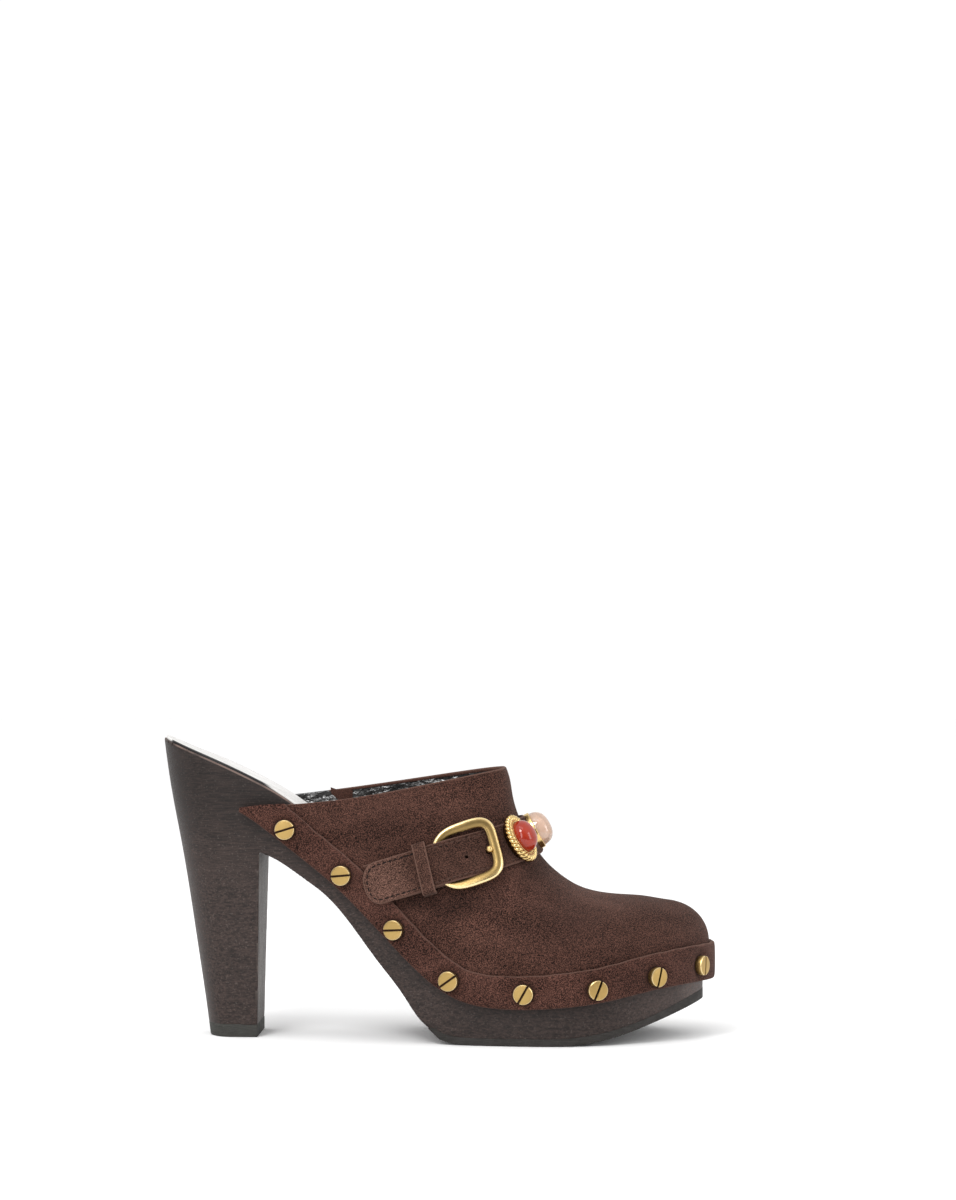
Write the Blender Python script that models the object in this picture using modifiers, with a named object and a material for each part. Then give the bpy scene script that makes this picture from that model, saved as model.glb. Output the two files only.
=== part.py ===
"""Platform clog, right shoe: carved wooden sole, hollow suede upper, rand, strap and buckle.

The upper is a fan of ribs. Each rib climbs the side of the wood, then curves over to the ridge
of the foot. The sole, rand, insole and straps are all worked out from the same ribs.
The toe points along +X, the outer (lateral) side of the foot faces -Y and the floor is z = 0.
"""
import math

import bmesh
import bpy
import numpy as np
from mathutils import Matrix, Vector

# Driving sizes in millimetres
MM = 0.001
SHIFT = (0.05, 1.9)
GAP = 0.3
UPPER_WALL = 2.0
RAND_WALL = 2.0
UPPER_HEM = 1.2
SOLE_INSET = UPPER_WALL + 2.0 * GAP
OUTSOLE_THICK = 3.0
LIFT_THICK = 5.5
INSOLE_THICK = 1.1
INSOLE_INSET_REAR = 1.4
INSOLE_INSET_FRONT = 2.6
RIDGE_SWING = 3.0
STRAP_WIDTH = 16.8
STRAP_THICK = 1.6
RAND_STOP = 1.6
STONE_SEAT = 0.8
STRAP_REST = 0.55
KEEPER_THICK = 1.3
BUCKLE_HALF_LENGTH = 11.3
BUCKLE_HALF_HEIGHT = 11.6
BUCKLE_ROD = 1.45
BUCKLE_SQUARENESS_OUTER = 4.6
BUCKLE_SQUARENESS_HINGE = 3.2
BUCKLE_ACROSS = 0.9
SCREW_RADIUS = 4.0
SCREW_HEIGHT = 2.0
SLOT_WIDTH = 1.0
SLOT_DEPTH = 0.8

# Ribs of the upper, a row per section from the collar to the toe.
# The edge is the lower edge of the upper, the wall is the upright part against the wood.
RIB_COLUMNS = (
    "edge_x", "lateral_y", "medial_y", "edge_z", "wall", "ridge_x", "ridge_z",
    "roundness", "lead", "bulge", "lateral_sag", "medial_sag",
)
RIBS = (
    (-78.3, -27.7, 27.5, 94.9, 0.0, 27.0, 109.8, 3.6, 1.0, 0.0, 3.1, 0.9),
    (-60.7, -28.2, 26.9, 79.2, 12.0, 28.9, 104.0, 3.4, 1.0, 0.3, 1.0, 0.4),
    (-42.0, -30.0, 26.6, 64.0, 16.5, 30.2, 96.5, 3.1, 1.0, 0.6, 0.0, 0.0),
    (-26.0, -33.2, 27.8, 48.6, 16.0, 32.6, 89.0, 2.8, 1.0, 1.0, 0.0, 0.0),
    (-8.5, -37.7, 31.5, 31.0, 15.6, 36.5, 81.5, 2.5, 1.0, 1.4, 0.0, 0.0),
    (9.0, -42.3, 37.2, 18.7, 13.5, 41.8, 73.0, 2.3, 1.0, 1.4, 0.0, 0.0),
    (30.5, -45.8, 41.8, 15.1, 12.0, 49.4, 65.5, 2.2, 1.0, 1.0, 0.0, 0.0),
    (50.0, -46.7, 43.0, 15.8, 11.3, 59.3, 59.8, 2.1, 1.0, 0.6, 0.0, 0.0),
    (66.5, -43.8, 42.3, 17.8, 11.0, 70.6, 57.5, 2.1, 0.9, 0.3, 0.0, 0.0),
    (82.5, -36.2, 38.7, 21.0, 11.2, 81.0, 56.8, 2.1, 0.5, 0.0, 0.0, 0.0),
    (99.4, -20.6, 28.2, 23.0, 12.7, 87.6, 55.7, 2.1, 0.1, 0.0, 0.0, 0.0),
    (105.8, -10.0, 20.0, 23.1, 13.8, 89.8, 55.3, 2.1, 0.0, 0.0, 0.0, 0.0),
    (110.6, 6.0, 6.0, 22.9, 14.6, 90.6, 55.2, 2.1, 0.0, 0.0, 0.0, 0.0),
)

# Height of the rand above the lower edge, by the x of the edge
RAND_X = (-79.0, 0.0, 40.0, 80.0, 109.0)
RAND_HEIGHT = (12.0, 12.4, 13.6, 14.2, 15.0)

# Side view of the wooden sole: footbed, underside of the arch and forefoot, heel
FOOTBED = (
    (-125.0, 126.2), (-113.0, 121.4), (-102.0, 117.0), (-91.0, 112.5), (-75.0, 105.0),
    (-60.0, 96.5), (-48.0, 86.5), (-36.0, 74.0), (-24.0, 62.0), (-12.0, 49.5), (0.0, 38.0),
    (10.0, 31.0), (20.0, 27.8), (30.0, 26.6), (45.0, 26.4), (60.0, 27.4), (75.0, 30.0),
    (90.0, 33.5), (105.0, 36.5), (120.0, 38.5),
)
ARCH = (
    (-72.2, 76.0), (-63.0, 71.7), (-54.7, 66.0), (-43.7, 57.6), (-34.7, 47.3),
    (-23.7, 32.7), (-12.7, 18.6), (-6.5, 9.8), (-2.6, 6.4),
)
TREAD = (
    (-1.2, 3.6), (1.4, 2.0), (4.5, 0.9), (9.0, 0.25), (14.0, 0.0), (34.0, 0.0), (51.0, 0.0),
    (56.0, 0.25), (61.5, 0.8), (67.0, 1.75), (72.0, 3.0), (77.0, 4.6), (82.0, 6.3), (87.0, 8.1),
    (92.0, 9.8), (98.0, 11.8), (104.0, 13.7), (120.0, 18.8),
)
BREAST_BOTTOM_X = -73.5

# Heel by height: back edge, half-width, and the length over which its back is rounded
HEEL_COLUMNS = ("z", "back_x", "half_width", "rounding")
HEEL = (
    (-6.0, -93.3, 15.2, 11.0),
    (10.0, -95.4, 16.0, 12.0),
    (34.5, -99.0, 18.0, 14.5),
    (59.0, -102.7, 20.9, 19.0),
    (80.0, -106.3, 23.5, 23.5),
    (100.0, -110.1, 24.9, 26.0),
    (130.0, -114.2, 24.9, 28.5),
)

# Screws along the rand: x of the lower edge, height above it, turn of the slot in degrees
SCREW_COLUMNS = ("edge_x", "up", "slot")
SCREWS = (
    (-60.9, 6.1, 17.0),
    (-37.6, 7.2, 5.0),
    (-16.0, 7.6, 3.0),
    (6.2, 6.1, 35.0),
    (35.7, 6.3, 60.0),
    (64.1, 5.6, 68.0),
    (87.0, 5.4, 75.0),
    (104.6, 6.6, 85.0),
)

# Strap in side view: centre of the buckle, slope, and places along the strap from that centre
STRAP_CENTRE = (12.7, 74.5)
STRAP_SLOPE = 16.2
FREE_END = -42.5
KEEPER_PLACE = -18.0
KEEPER_WIDTH = 5.2
PRONG_ACROSS = -0.6
PRONG_HOLE = 6.4
SPARE_HOLE = -0.8
HINGE_BAR = -BUCKLE_HALF_LENGTH
OUTER_BAR = BUCKLE_HALF_LENGTH
FIELD_BACK = 66.0
FIELD_ACROSS = np.linspace(-18.0, 18.0, 19)

# Prong from its hole to the ball at its tip: place along the strap, height, radius
PRONG = (
    (6.3, 1.0, 0.7), (6.4, 2.6, 0.75), (6.7, 4.0, 0.8), (7.3, 5.2, 0.85),
    (8.2, 5.9, 1.0), (8.8, 6.1, 1.1), (9.3, 6.1, 0.9), (9.6, 6.1, 0.45),
)

# Stones: how far short of the ridge, half-axes across and along the strap, dome, rim width and height
STONE_COLUMNS = (
    "name", "short_of_ridge", "across", "long_half", "short_half", "dome", "rim", "rim_height", "finish",
)
STONES = (
    ("red_stone", 21.8, 0.1, 6.1, 5.2, 5.2, 3.5, 3.9, "coral"),
    ("pink_stone", 0.0, 0.5, 7.2, 5.6, 7.0, 1.0, 3.4, "rose"),
)

# Height of the underside of the instep strap over the upper, by place along the strap
LIFT_PLACE = (-60.0, -36.0, -26.0, -15.0, -11.5, -7.0, 6.0, 9.0, 400.0)
LIFT_HEIGHT = (2.8, 2.8, 2.5, 3.0, 3.5, 3.2, 0.7, STRAP_REST, STRAP_REST)

# Colours of the pieces: red, green, blue, roughness, metallic
MATERIALS = {
    "stained_wood": (0.052, 0.042, 0.038, 0.55, 0.0),
    "rubber": (0.045, 0.045, 0.042, 0.8, 0.0),
    "pale_leather": (0.62, 0.61, 0.6, 0.6, 0.0),
    "suede": (0.075, 0.037, 0.029, 0.95, 0.0),
    "rand_suede": (0.088, 0.042, 0.032, 0.95, 0.0),
    "strap_suede": (0.095, 0.05, 0.039, 0.95, 0.0),
    "brass": (0.55, 0.37, 0.13, 0.35, 1.0),
    "coral": (0.42, 0.055, 0.03, 0.2, 0.0),
    "rose": (0.68, 0.4, 0.3, 0.2, 0.0),
}


def smooth(x):
    """Ease from 0 to 1."""
    x = np.clip(x, 0.0, 1.0)
    return x * x * (3.0 - 2.0 * x)


def natural_spline(knots, rows):
    """Return a function for the smooth curve through the rows at the knots."""
    knots = np.asarray(knots, float)
    rows = np.asarray(rows, float).reshape(len(knots), -1)
    step = np.diff(knots)
    count = len(knots)
    system = np.eye(count)
    right = np.zeros_like(rows)
    slopes = np.diff(rows, axis=0) / step[:, None]
    for i in range(1, count - 1):
        system[i, i - 1:i + 2] = step[i - 1], 2.0 * (step[i - 1] + step[i]), step[i]
        right[i] = 6.0 * (slopes[i] - slopes[i - 1])
    bend = np.linalg.solve(system, right)

    def curve(at):
        at = np.atleast_1d(np.asarray(at, float))
        i = np.clip(np.searchsorted(knots, at) - 1, 0, count - 2)
        h = step[i][:, None]
        a = (knots[i + 1] - at)[:, None] / h
        b = 1.0 - a
        pull = (a ** 3 - a) * bend[i] + (b ** 3 - b) * bend[i + 1]
        return a * rows[i] + b * rows[i + 1] + pull * h * h / 6.0

    return curve


def rib_sequence():
    """Rib values from the lateral rear tip, round the toe, to the medial rear tip."""
    lateral, medial = [], []
    for row in RIBS:
        rib = dict(zip(RIB_COLUMNS, row))
        ridge_y = RIDGE_SWING * float(smooth((rib["ridge_x"] - 30.0) / 60.0))
        shared = [rib["edge_z"], rib["wall"], rib["ridge_x"], ridge_y, rib["ridge_z"]]
        shared += [rib["roundness"], rib["lead"], rib["bulge"]]
        lateral.append([rib["edge_x"], rib["lateral_y"]] + shared + [rib["lateral_sag"]])
        medial.append([rib["edge_x"], rib["medial_y"]] + shared + [rib["medial_sag"]])
    lateral, medial = np.array(lateral), np.array(medial)
    chords = [np.linalg.norm(np.diff(side[:, :3], axis=0), axis=1) for side in (lateral, medial)]
    half = np.concatenate([[0.0], np.cumsum(0.5 * (chords[0] + chords[1]))])
    knots = np.concatenate([half, 2.0 * half[-1] - half[-2::-1]])
    return knots, np.concatenate([lateral, medial[-2::-1]])


KNOTS, RIB_ROWS = rib_sequence()
RIB_AT = natural_spline(KNOTS, RIB_ROWS)
TOE_PLACE = KNOTS[len(RIBS) - 1]
FULL = KNOTS[-1]


def rib_line(place, count=150):
    """Points of one rib, from the lower edge up the wall and over to the ridge."""
    x, y, z, wall, ridge_x, ridge_y, ridge_z, roundness, lead, bulge, sag = RIB_AT(place)[0]
    turn = 0.25 * math.pi * (1.0 - np.cos(np.linspace(0.0, math.pi, count)))
    rise = np.sin(turn) ** (2.0 / roundness)
    stay = np.cos(turn) ** (2.0 / roundness)
    out = np.sign(y - ridge_y)
    arch = np.stack([
        x + (ridge_x - x) * (lead * rise + (1.0 - lead) * (1.0 - stay)),
        ridge_y + (y - ridge_y) * stay + out * bulge * 4.0 * rise * (1.0 - rise),
        z + wall + (ridge_z - z - wall) * rise - sag * np.sin(math.pi * rise) * (1.35 - rise),
    ], axis=1)
    foot = np.linspace([x, y, z], [x, y, z + wall], 12)[:-1]
    return np.concatenate([foot, arch]), max(wall, 0.0)


def walk(line, distances):
    """Points at the given distances along a line of points."""
    length = np.concatenate([[0.0], np.cumsum(np.linalg.norm(np.diff(line, axis=0), axis=1))])
    return np.stack([np.interp(distances, length, line[:, k]) for k in range(3)], axis=1), length


def rib_places(side_step, toe_step):
    """Places round the lower edge, closer together at the toe."""
    half = [0.0]
    for i in range(len(RIBS) - 1):
        step = toe_step if RIBS[i][0] > 80.0 else side_step
        parts = max(2, round((KNOTS[i + 1] - KNOTS[i]) / step))
        half += list(np.linspace(KNOTS[i], KNOTS[i + 1], parts + 1)[1:])
    half = np.array(half)
    return np.concatenate([half, FULL - half[-2::-1]])


PLACES = rib_places(10.0, 5.5)
EDGE_PLACES = np.linspace(0.0, FULL, 600)
EDGE = RIB_AT(EDGE_PLACES)[:, :3]


def plan_normal(places):
    """Level outward direction of the lower edge."""
    ahead = RIB_AT(np.minimum(places + 0.5, FULL))[:, :2]
    behind = RIB_AT(np.maximum(places - 0.5, 0.0))[:, :2]
    run = ahead - behind
    run /= np.linalg.norm(run, axis=1)[:, None]
    return np.stack([run[:, 1], -run[:, 0]], axis=1)


def edge_distance(points):
    """Distance of points from the lower edge."""
    gaps = np.linalg.norm(points[:, None, :] - EDGE[None, :, :], axis=2)
    return gaps.min(axis=1)


def rand_height(x):
    """Height of the rand where the lower edge has this x."""
    return np.interp(x, RAND_X, RAND_HEIGHT)


def grid_normals(grid):
    """Outward normals of a grid of points laid out as [along][up]."""
    along = np.gradient(grid, axis=0)
    up = np.gradient(grid, axis=1)
    normal = np.cross(along, up)
    return normal / np.linalg.norm(normal, axis=2)[:, :, None]


def clear_scene():
    """Remove what is in the scene and make the two collections."""
    for thing in list(bpy.data.objects):
        bpy.data.objects.remove(thing, do_unlink=True)
    folders = []
    for name in ("platform_clog", "cutters"):
        folder = bpy.data.collections.new(name)
        bpy.context.scene.collection.children.link(folder)
        folders.append(folder)
    return folders


PARTS, CUTTERS = clear_scene()


def make_materials():
    """One Principled material for each kind of finish."""
    made = {}
    for name, (red, green, blue, roughness, metallic) in MATERIALS.items():
        material = bpy.data.materials.new(name)
        material.use_nodes = True
        shader = material.node_tree.nodes["Principled BSDF"]
        shader.inputs["Base Color"].default_value = (red, green, blue, 1.0)
        shader.inputs["Roughness"].default_value = roughness
        shader.inputs["Metallic"].default_value = metallic
        material.diffuse_color = (red, green, blue, 1.0)
        made[name] = material
    return made


FINISH = make_materials()


def to_metres(points):
    """Points in millimetres, moved to the frame of the part, in metres."""
    points = np.asarray(points, float).reshape(-1, 3)
    return (points + np.array([SHIFT[0], SHIFT[1], 0.0])) * MM


def make_object(name, points, faces, finish):
    """A part from points in millimetres and faces."""
    mesh = bpy.data.meshes.new(name)
    mesh.from_pydata([tuple(p) for p in to_metres(points)], [], faces)
    work = bmesh.new()
    work.from_mesh(mesh)
    bmesh.ops.remove_doubles(work, verts=work.verts, dist=2e-6)
    work.to_mesh(mesh)
    work.free()
    mesh.update()
    return place_mesh(name, mesh, finish)


def place_mesh(name, mesh, finish):
    """Put a mesh in the scene as a part, or as a cutter when it has no finish."""
    item = bpy.data.objects.new(name, mesh)
    mesh.shade_smooth()
    mesh.set_sharp_from_angle(angle=math.radians(32.0))
    if finish:
        mesh.materials.clear()
        mesh.materials.append(FINISH[finish])
        PARTS.objects.link(item)
    else:
        CUTTERS.objects.link(item)
        item.hide_render = True
        item.display_type = "WIRE"
    return item


def grid_faces(columns, rows, wrap=False):
    """Quads of a grid of points laid out as [column][row]."""
    faces = []
    for i in range(columns if wrap else columns - 1):
        j = (i + 1) % columns
        for k in range(rows - 1):
            faces.append((i * rows + k, j * rows + k, j * rows + k + 1, i * rows + k + 1))
    return faces


def ring_solid(name, rings, finish, closed=False):
    """A solid lofted through rings of points; open runs get a cap at each end."""
    count, size = len(rings), len(rings[0])
    faces = []
    for i in range(count if closed else count - 1):
        j = (i + 1) % count
        for k in range(size):
            m = (k + 1) % size
            faces.append((i * size + k, i * size + m, j * size + m, j * size + k))
    if not closed:
        faces.append(tuple(range(size - 1, -1, -1)))
        faces.append(tuple((count - 1) * size + k for k in range(size)))
    item = make_object(name, np.concatenate([np.asarray(r) for r in rings]), faces, finish)
    turn_outward(item.data)
    return item


def turn_outward(mesh):
    """Make the faces of a closed mesh point outward."""
    work = bmesh.new()
    work.from_mesh(mesh)
    bmesh.ops.recalc_face_normals(work, faces=work.faces)
    if work.calc_volume(signed=True) < 0.0:
        bmesh.ops.reverse_faces(work, faces=work.faces)
    work.to_mesh(mesh)
    work.free()


def thicken(item, thickness, offset):
    """Give an open surface a wall."""
    wall = item.modifiers.new("wall", "SOLIDIFY")
    wall.thickness = thickness * MM
    wall.offset = offset
    wall.use_even_offset = True
    wall.use_quality_normals = True


def cut(item, cutter, operation="DIFFERENCE"):
    """Cut or keep with another solid."""
    step = item.modifiers.new("cut_" + cutter.name, "BOOLEAN")
    step.operation = operation
    step.solver = "EXACT"
    step.object = cutter


def build_upper():
    """The hollow suede upper, open at the collar and underneath."""
    columns = []
    for place in PLACES:
        line, wall = rib_line(place)
        length = walk(line, [0.0])[1]
        hem = UPPER_HEM * min(1.0, place / 12.0, (FULL - place) / 12.0)
        low = np.linspace(hem, max(wall, hem + 2.0), 3)
        high = low[-1] + (length[-1] - low[-1]) * np.linspace(0.0, 1.0, 14)[1:]
        columns.append(walk(line, np.concatenate([low, high]))[0])
    grid = np.array(columns)
    item = make_object("upper", grid, grid_faces(*grid.shape[:2]), "suede")
    thicken(item, UPPER_WALL, -1.0)


def rand_grid(places, rows):
    """Points of the upper under the rand, from the lower edge to the rand's top edge."""
    columns = []
    for place in places:
        line = rib_line(place)[0]
        length = walk(line, [0.0])[1]
        tall = rand_height(RIB_AT(place)[0, 0])
        reach = edge_distance(line)
        first = int(np.argmax(reach >= tall))
        share = (tall - reach[first - 1]) / (reach[first] - reach[first - 1])
        top = length[first - 1] + share * (length[first] - length[first - 1])
        columns.append(walk(line, np.linspace(0.0, top, rows))[0])
    return np.array(columns)


def build_rand():
    """The suede band round the lower edge."""
    grid = rand_grid(PLACES, 4)
    normal = grid_normals(grid)
    grid = grid + GAP * normal
    item = make_object("rand_band", grid, grid_faces(*grid.shape[:2]), "rand_suede")
    thicken(item, RAND_WALL, 1.0)


def heel_at(z):
    """Back edge, half-width and rounding of the heel at a height."""
    table = np.array(HEEL)
    return [float(np.interp(z, table[:, 0], table[:, k])) for k in (1, 2, 3)]


def plan_outline(z, inset=0.0):
    """Plan of the wood at a height: rear centre, lateral side, toe, medial side."""
    back, half, rounding = heel_at(z)
    back += inset
    half -= inset
    seat = HEEL[-1][2] - inset
    rear = []
    for angle in np.linspace(0.0, 0.5 * math.pi, 9):
        rear.append((back + rounding * (1.0 - math.cos(angle) ** 0.9), half * math.sin(angle) ** 0.9))
    edge = RIB_AT(PLACES)[:, :2] - (SOLE_INSET + inset) * plan_normal(PLACES)
    narrow = half / seat + (1.0 - half / seat) * smooth((edge[:, 0] + 73.0) / 13.0)
    edge[:, 1] *= narrow
    lateral = [(x, -y) for x, y in rear]
    medial = [(x, y) for x, y in reversed(rear[1:])]
    return np.array(lateral + [tuple(p) for p in edge] + medial)


def profile_solid(name, outline, finish):
    """A side-view outline drawn out across the shoe."""
    rings = []
    for y in (-70.0, 70.0):
        rings.append(np.array([(x, y, z) for x, z in outline]))
    return ring_solid(name, rings, finish)


def spaced(table, start, stop, count):
    """Evenly spaced points on the smooth curve through a table of x and z."""
    table = np.array(table)
    x = np.linspace(start, stop, count)
    return np.stack([x, natural_spline(table[:, 0], table[:, 1])(x)[:, 0]], axis=1)


def tread_z(x):
    """Height of the bottom of the forefoot."""
    table = np.array(TREAD)
    return np.interp(x, table[:, 0], table[:, 1])


def footbed_z(x):
    """Height of the top of the wood."""
    table = np.array(FOOTBED)
    return natural_spline(table[:, 0], table[:, 1])(x)[:, 0]


def build_wood():
    """One carved piece: footbed, arch, platform with toe spring, and heel."""
    rings = []
    for row in HEEL:
        z = row[0]
        rings.append(np.array([(x, y, z) for x, y in plan_outline(z)]))
    item = ring_solid("wood_sole", rings, "stained_wood")
    top = spaced(FOOTBED, -124.0, 119.0, 46)
    under = spaced(ARCH, ARCH[0][0], ARCH[-1][0], 20)
    tread = np.array([(x, tread_z(x) + OUTSOLE_THICK + GAP) for x, z in TREAD[1:]])
    outline = [(-124.0, LIFT_THICK + GAP), (BREAST_BOTTOM_X, LIFT_THICK + GAP)]
    outline += [tuple(p) for p in under] + [tuple(p) for p in tread]
    outline += [tuple(p) for p in reversed(top)]
    keep = profile_solid("sole_profile", np.array(outline), None)
    cut(item, keep, "INTERSECT")


def side_at(outline, x):
    """Lateral and medial y of a plan outline at places along the shoe."""
    toe = int(np.argmax(outline[:, 0]))
    lateral = outline[:toe + 1]
    medial = np.concatenate([outline[toe:], outline[:1]])[::-1]
    return np.interp(x, lateral[:, 0], lateral[:, 1]), np.interp(x, medial[:, 0], medial[:, 1])


def strip_solid(name, x, lateral, medial, low, high, finish):
    """A sheet with a curved side view: a four-sided section at each place along the shoe."""
    rings = []
    for i in range(len(x)):
        rings.append(np.array([
            (x[i], lateral[i], low[i]), (x[i], medial[i], low[i]),
            (x[i], medial[i], high[i]), (x[i], lateral[i], high[i]),
        ]))
    return ring_solid(name, rings, finish)


def eased(start, stop, count, power=1.0):
    """Places that crowd towards both ends."""
    share = 0.5 - 0.5 * np.cos(np.linspace(0.0, math.pi, count))
    return start + (stop - start) * share ** power


def build_insole():
    """The pale leather sock on the footbed."""
    outline = plan_outline(125.0)
    x = eased(outline[:, 0].min() + INSOLE_INSET_REAR + 0.4, outline[:, 0].max() - 3.4, 40)
    lateral, medial = side_at(outline, x)
    inset = np.interp(x, (-85.0, -60.0), (INSOLE_INSET_REAR, INSOLE_INSET_FRONT))
    tight = np.minimum(inset, 0.4 * (medial - lateral))
    low = footbed_z(x) + GAP
    strip_solid("insole", x, lateral + tight, medial - tight, low, low + INSOLE_THICK, "pale_leather")


def build_outsole():
    """The rubber sheet under the forefoot, with toe spring."""
    outline = plan_outline(0.0, 0.2)
    front = np.array([x for x, z in TREAD if x < 105.0])
    toe = outline[:, 0].max()
    x = np.concatenate([front, eased(front[-1], toe - 0.15, 12)[1:]])
    lateral, medial = side_at(outline, x)
    low = tread_z(x)
    high = low + OUTSOLE_THICK
    high[0] = low[0] + 1.4
    strip_solid("outsole", x, lateral, medial, low, high, "rubber")


def build_lift():
    """The rubber lift under the heel."""
    rings = []
    for z in (0.0, LIFT_THICK):
        back, half, rounding = heel_at(z)
        side = []
        for angle in np.linspace(0.0, 0.5 * math.pi, 8):
            side.append((back + rounding * (1.0 - math.cos(angle) ** 0.9), half * math.sin(angle) ** 0.9))
        side.append((BREAST_BOTTOM_X, half))
        plan = [(x, -y) for x, y in side] + [(x, y) for x, y in reversed(side[1:])]
        rings.append(np.array([(x, y, z) for x, y in plan]))
    ring_solid("heel_top_lift", rings, "rubber")


def skin_points(xz, side):
    """Points of the upper with this side view, on the lateral (-1) or medial (1) side."""
    places = np.linspace(0.0, TOE_PLACE, 500)
    ribs = RIB_AT(places if side < 0 else FULL - places)
    base = np.stack([ribs[:, 0], ribs[:, 2] + ribs[:, 3]], axis=1)
    run = ribs[:, [4, 6]] - base
    found = []
    for x, z in xz:
        side_y = np.interp(x, ribs[:, 0], ribs[:, 1])
        if z <= np.interp(x, ribs[:, 0], base[:, 1]):
            found.append((x, side_y, z))
            continue
        turn = (x - base[:, 0]) * run[:, 1] - (z - base[:, 1]) * run[:, 0]
        i = int(np.argmax((turn[:-1] * turn[1:] <= 0.0) & (base[:-1, 0] < x + 1.0)))
        share = turn[i] / (turn[i] - turn[i + 1])
        rib = ribs[i] + share * (ribs[i + 1] - ribs[i])
        start = base[i] + share * (base[i + 1] - base[i])
        step = run[i] + share * (run[i + 1] - run[i])
        rise = ((x - start[0]) * step[0] + (z - start[1]) * step[1]) / (step @ step)
        rise = min(max(rise, 0.0), 1.0)
        stay = (1.0 - rise ** rib[7]) ** (1.0 / rib[7])
        y = rib[5] + (rib[1] - rib[5]) * stay + side * rib[9] * 4.0 * rise * (1.0 - rise)
        found.append((x, y, z))
    return np.array(found)


def strap_field():
    """Surface of the upper under the strap, as a grid of [place along][place across]."""
    slope = math.radians(STRAP_SLOPE)
    ahead = np.array([math.cos(slope), math.sin(slope)])
    across = np.array([-math.sin(slope), math.cos(slope)])
    ridge = RIB_AT(np.linspace(0.0, TOE_PLACE, 500))[:, [4, 6]] - np.array(STRAP_CENTRE)
    order = np.argsort(ridge @ across)
    lines = []
    for side_step in FIELD_ACROSS:
        end = np.interp(side_step, (ridge @ across)[order], (ridge @ ahead)[order])
        turn = np.sin(np.linspace(0.0, 0.5 * math.pi, 160))
        along = -FIELD_BACK + (end + FIELD_BACK) * turn
        xz = np.array(STRAP_CENTRE) + along[:, None] * ahead + side_step * across
        lateral, medial = skin_points(xz, -1), skin_points(xz, 1)
        line = np.concatenate([lateral, medial[-2::-1]])
        length = walk(line, [0.0])[1]
        start = np.interp(0.0, along, length[:len(along)])
        lines.append(walk(line, start + FIELD_PLACES)[0])
    return np.stack(lines, axis=1)


FIELD_PLACES = np.linspace(-60.0, 140.0, 201)
FIELD = strap_field()
FIELD_NORMAL = grid_normals(FIELD)


def field_at(place, side_step, lift=0.0):
    """Point over the upper at a place along and across the strap, and the normal there."""
    rows, columns = FIELD.shape[:2]
    i = min(np.interp(place, FIELD_PLACES, np.arange(rows)), rows - 1.001)
    j = min(np.interp(side_step, FIELD_ACROSS, np.arange(columns)), columns - 1.001)
    a, b = int(i), int(j)
    u, v = i - a, j - b
    mixed = []
    for table in (FIELD, FIELD_NORMAL):
        near = table[a, b] * (1 - v) + table[a, b + 1] * v
        far = table[a + 1, b] * (1 - v) + table[a + 1, b + 1] * v
        mixed.append(near * (1 - u) + far * u)
    normal = mixed[1] / np.linalg.norm(mixed[1])
    return mixed[0] + lift * normal, normal


def ridge_place():
    """Place along the strap where it crosses the ridge of the foot."""
    middle = len(FIELD_ACROSS) // 2
    return float(FIELD_PLACES[int(np.argmax(FIELD[:, middle, 0]))])


RIDGE_PLACE = ridge_place()


def rand_stop(side_step, medial):
    """Place along the strap where it reaches the rand's top edge."""
    stop = RIDGE_PLACE
    while True:
        stop += 0.25 if medial else -0.25
        point = field_at(stop, side_step)[0]
        if edge_distance(point[None, :])[0] < rand_height(-30.0) + RAND_STOP:
            return stop


def strap_solid(name, places, steps, lift, finish):
    """A strap from rows of places; each row has one place for each step across."""
    rings = []
    for row, widths in zip(places, steps):
        low = [field_at(p, w, lift(p))[0] for p, w in zip(row, widths)]
        high = [field_at(p, w, lift(p) + STRAP_THICK)[0] for p, w in zip(row, widths)]
        rings.append(np.array(low + high[::-1]))
    return ring_solid(name, rings, finish)


def strap_lift(place):
    """Height of the underside of the instep strap."""
    return float(np.interp(place, LIFT_PLACE, LIFT_HEIGHT))


def low_lift(place):
    """Height of the underside of a strap that lies on the upper."""
    return STRAP_REST


def pin(name, place, side_step, radius, low, high):
    """A round cutter that stands on the strap."""
    point, normal = field_at(place, side_step, 0.5 * (low + high))
    where = Matrix.Translation(Vector(to_metres(point)[0]))
    turn = Vector(normal).to_track_quat("Z", "Y").to_matrix().to_4x4()
    work = bmesh.new()
    bmesh.ops.create_cone(
        work, cap_ends=True, segments=12, radius1=radius * MM, radius2=radius * MM,
        depth=(high - low) * MM, matrix=where @ turn,
    )
    mesh = bpy.data.meshes.new(name)
    work.to_mesh(mesh)
    work.free()
    return place_mesh(name, mesh, None)


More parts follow.
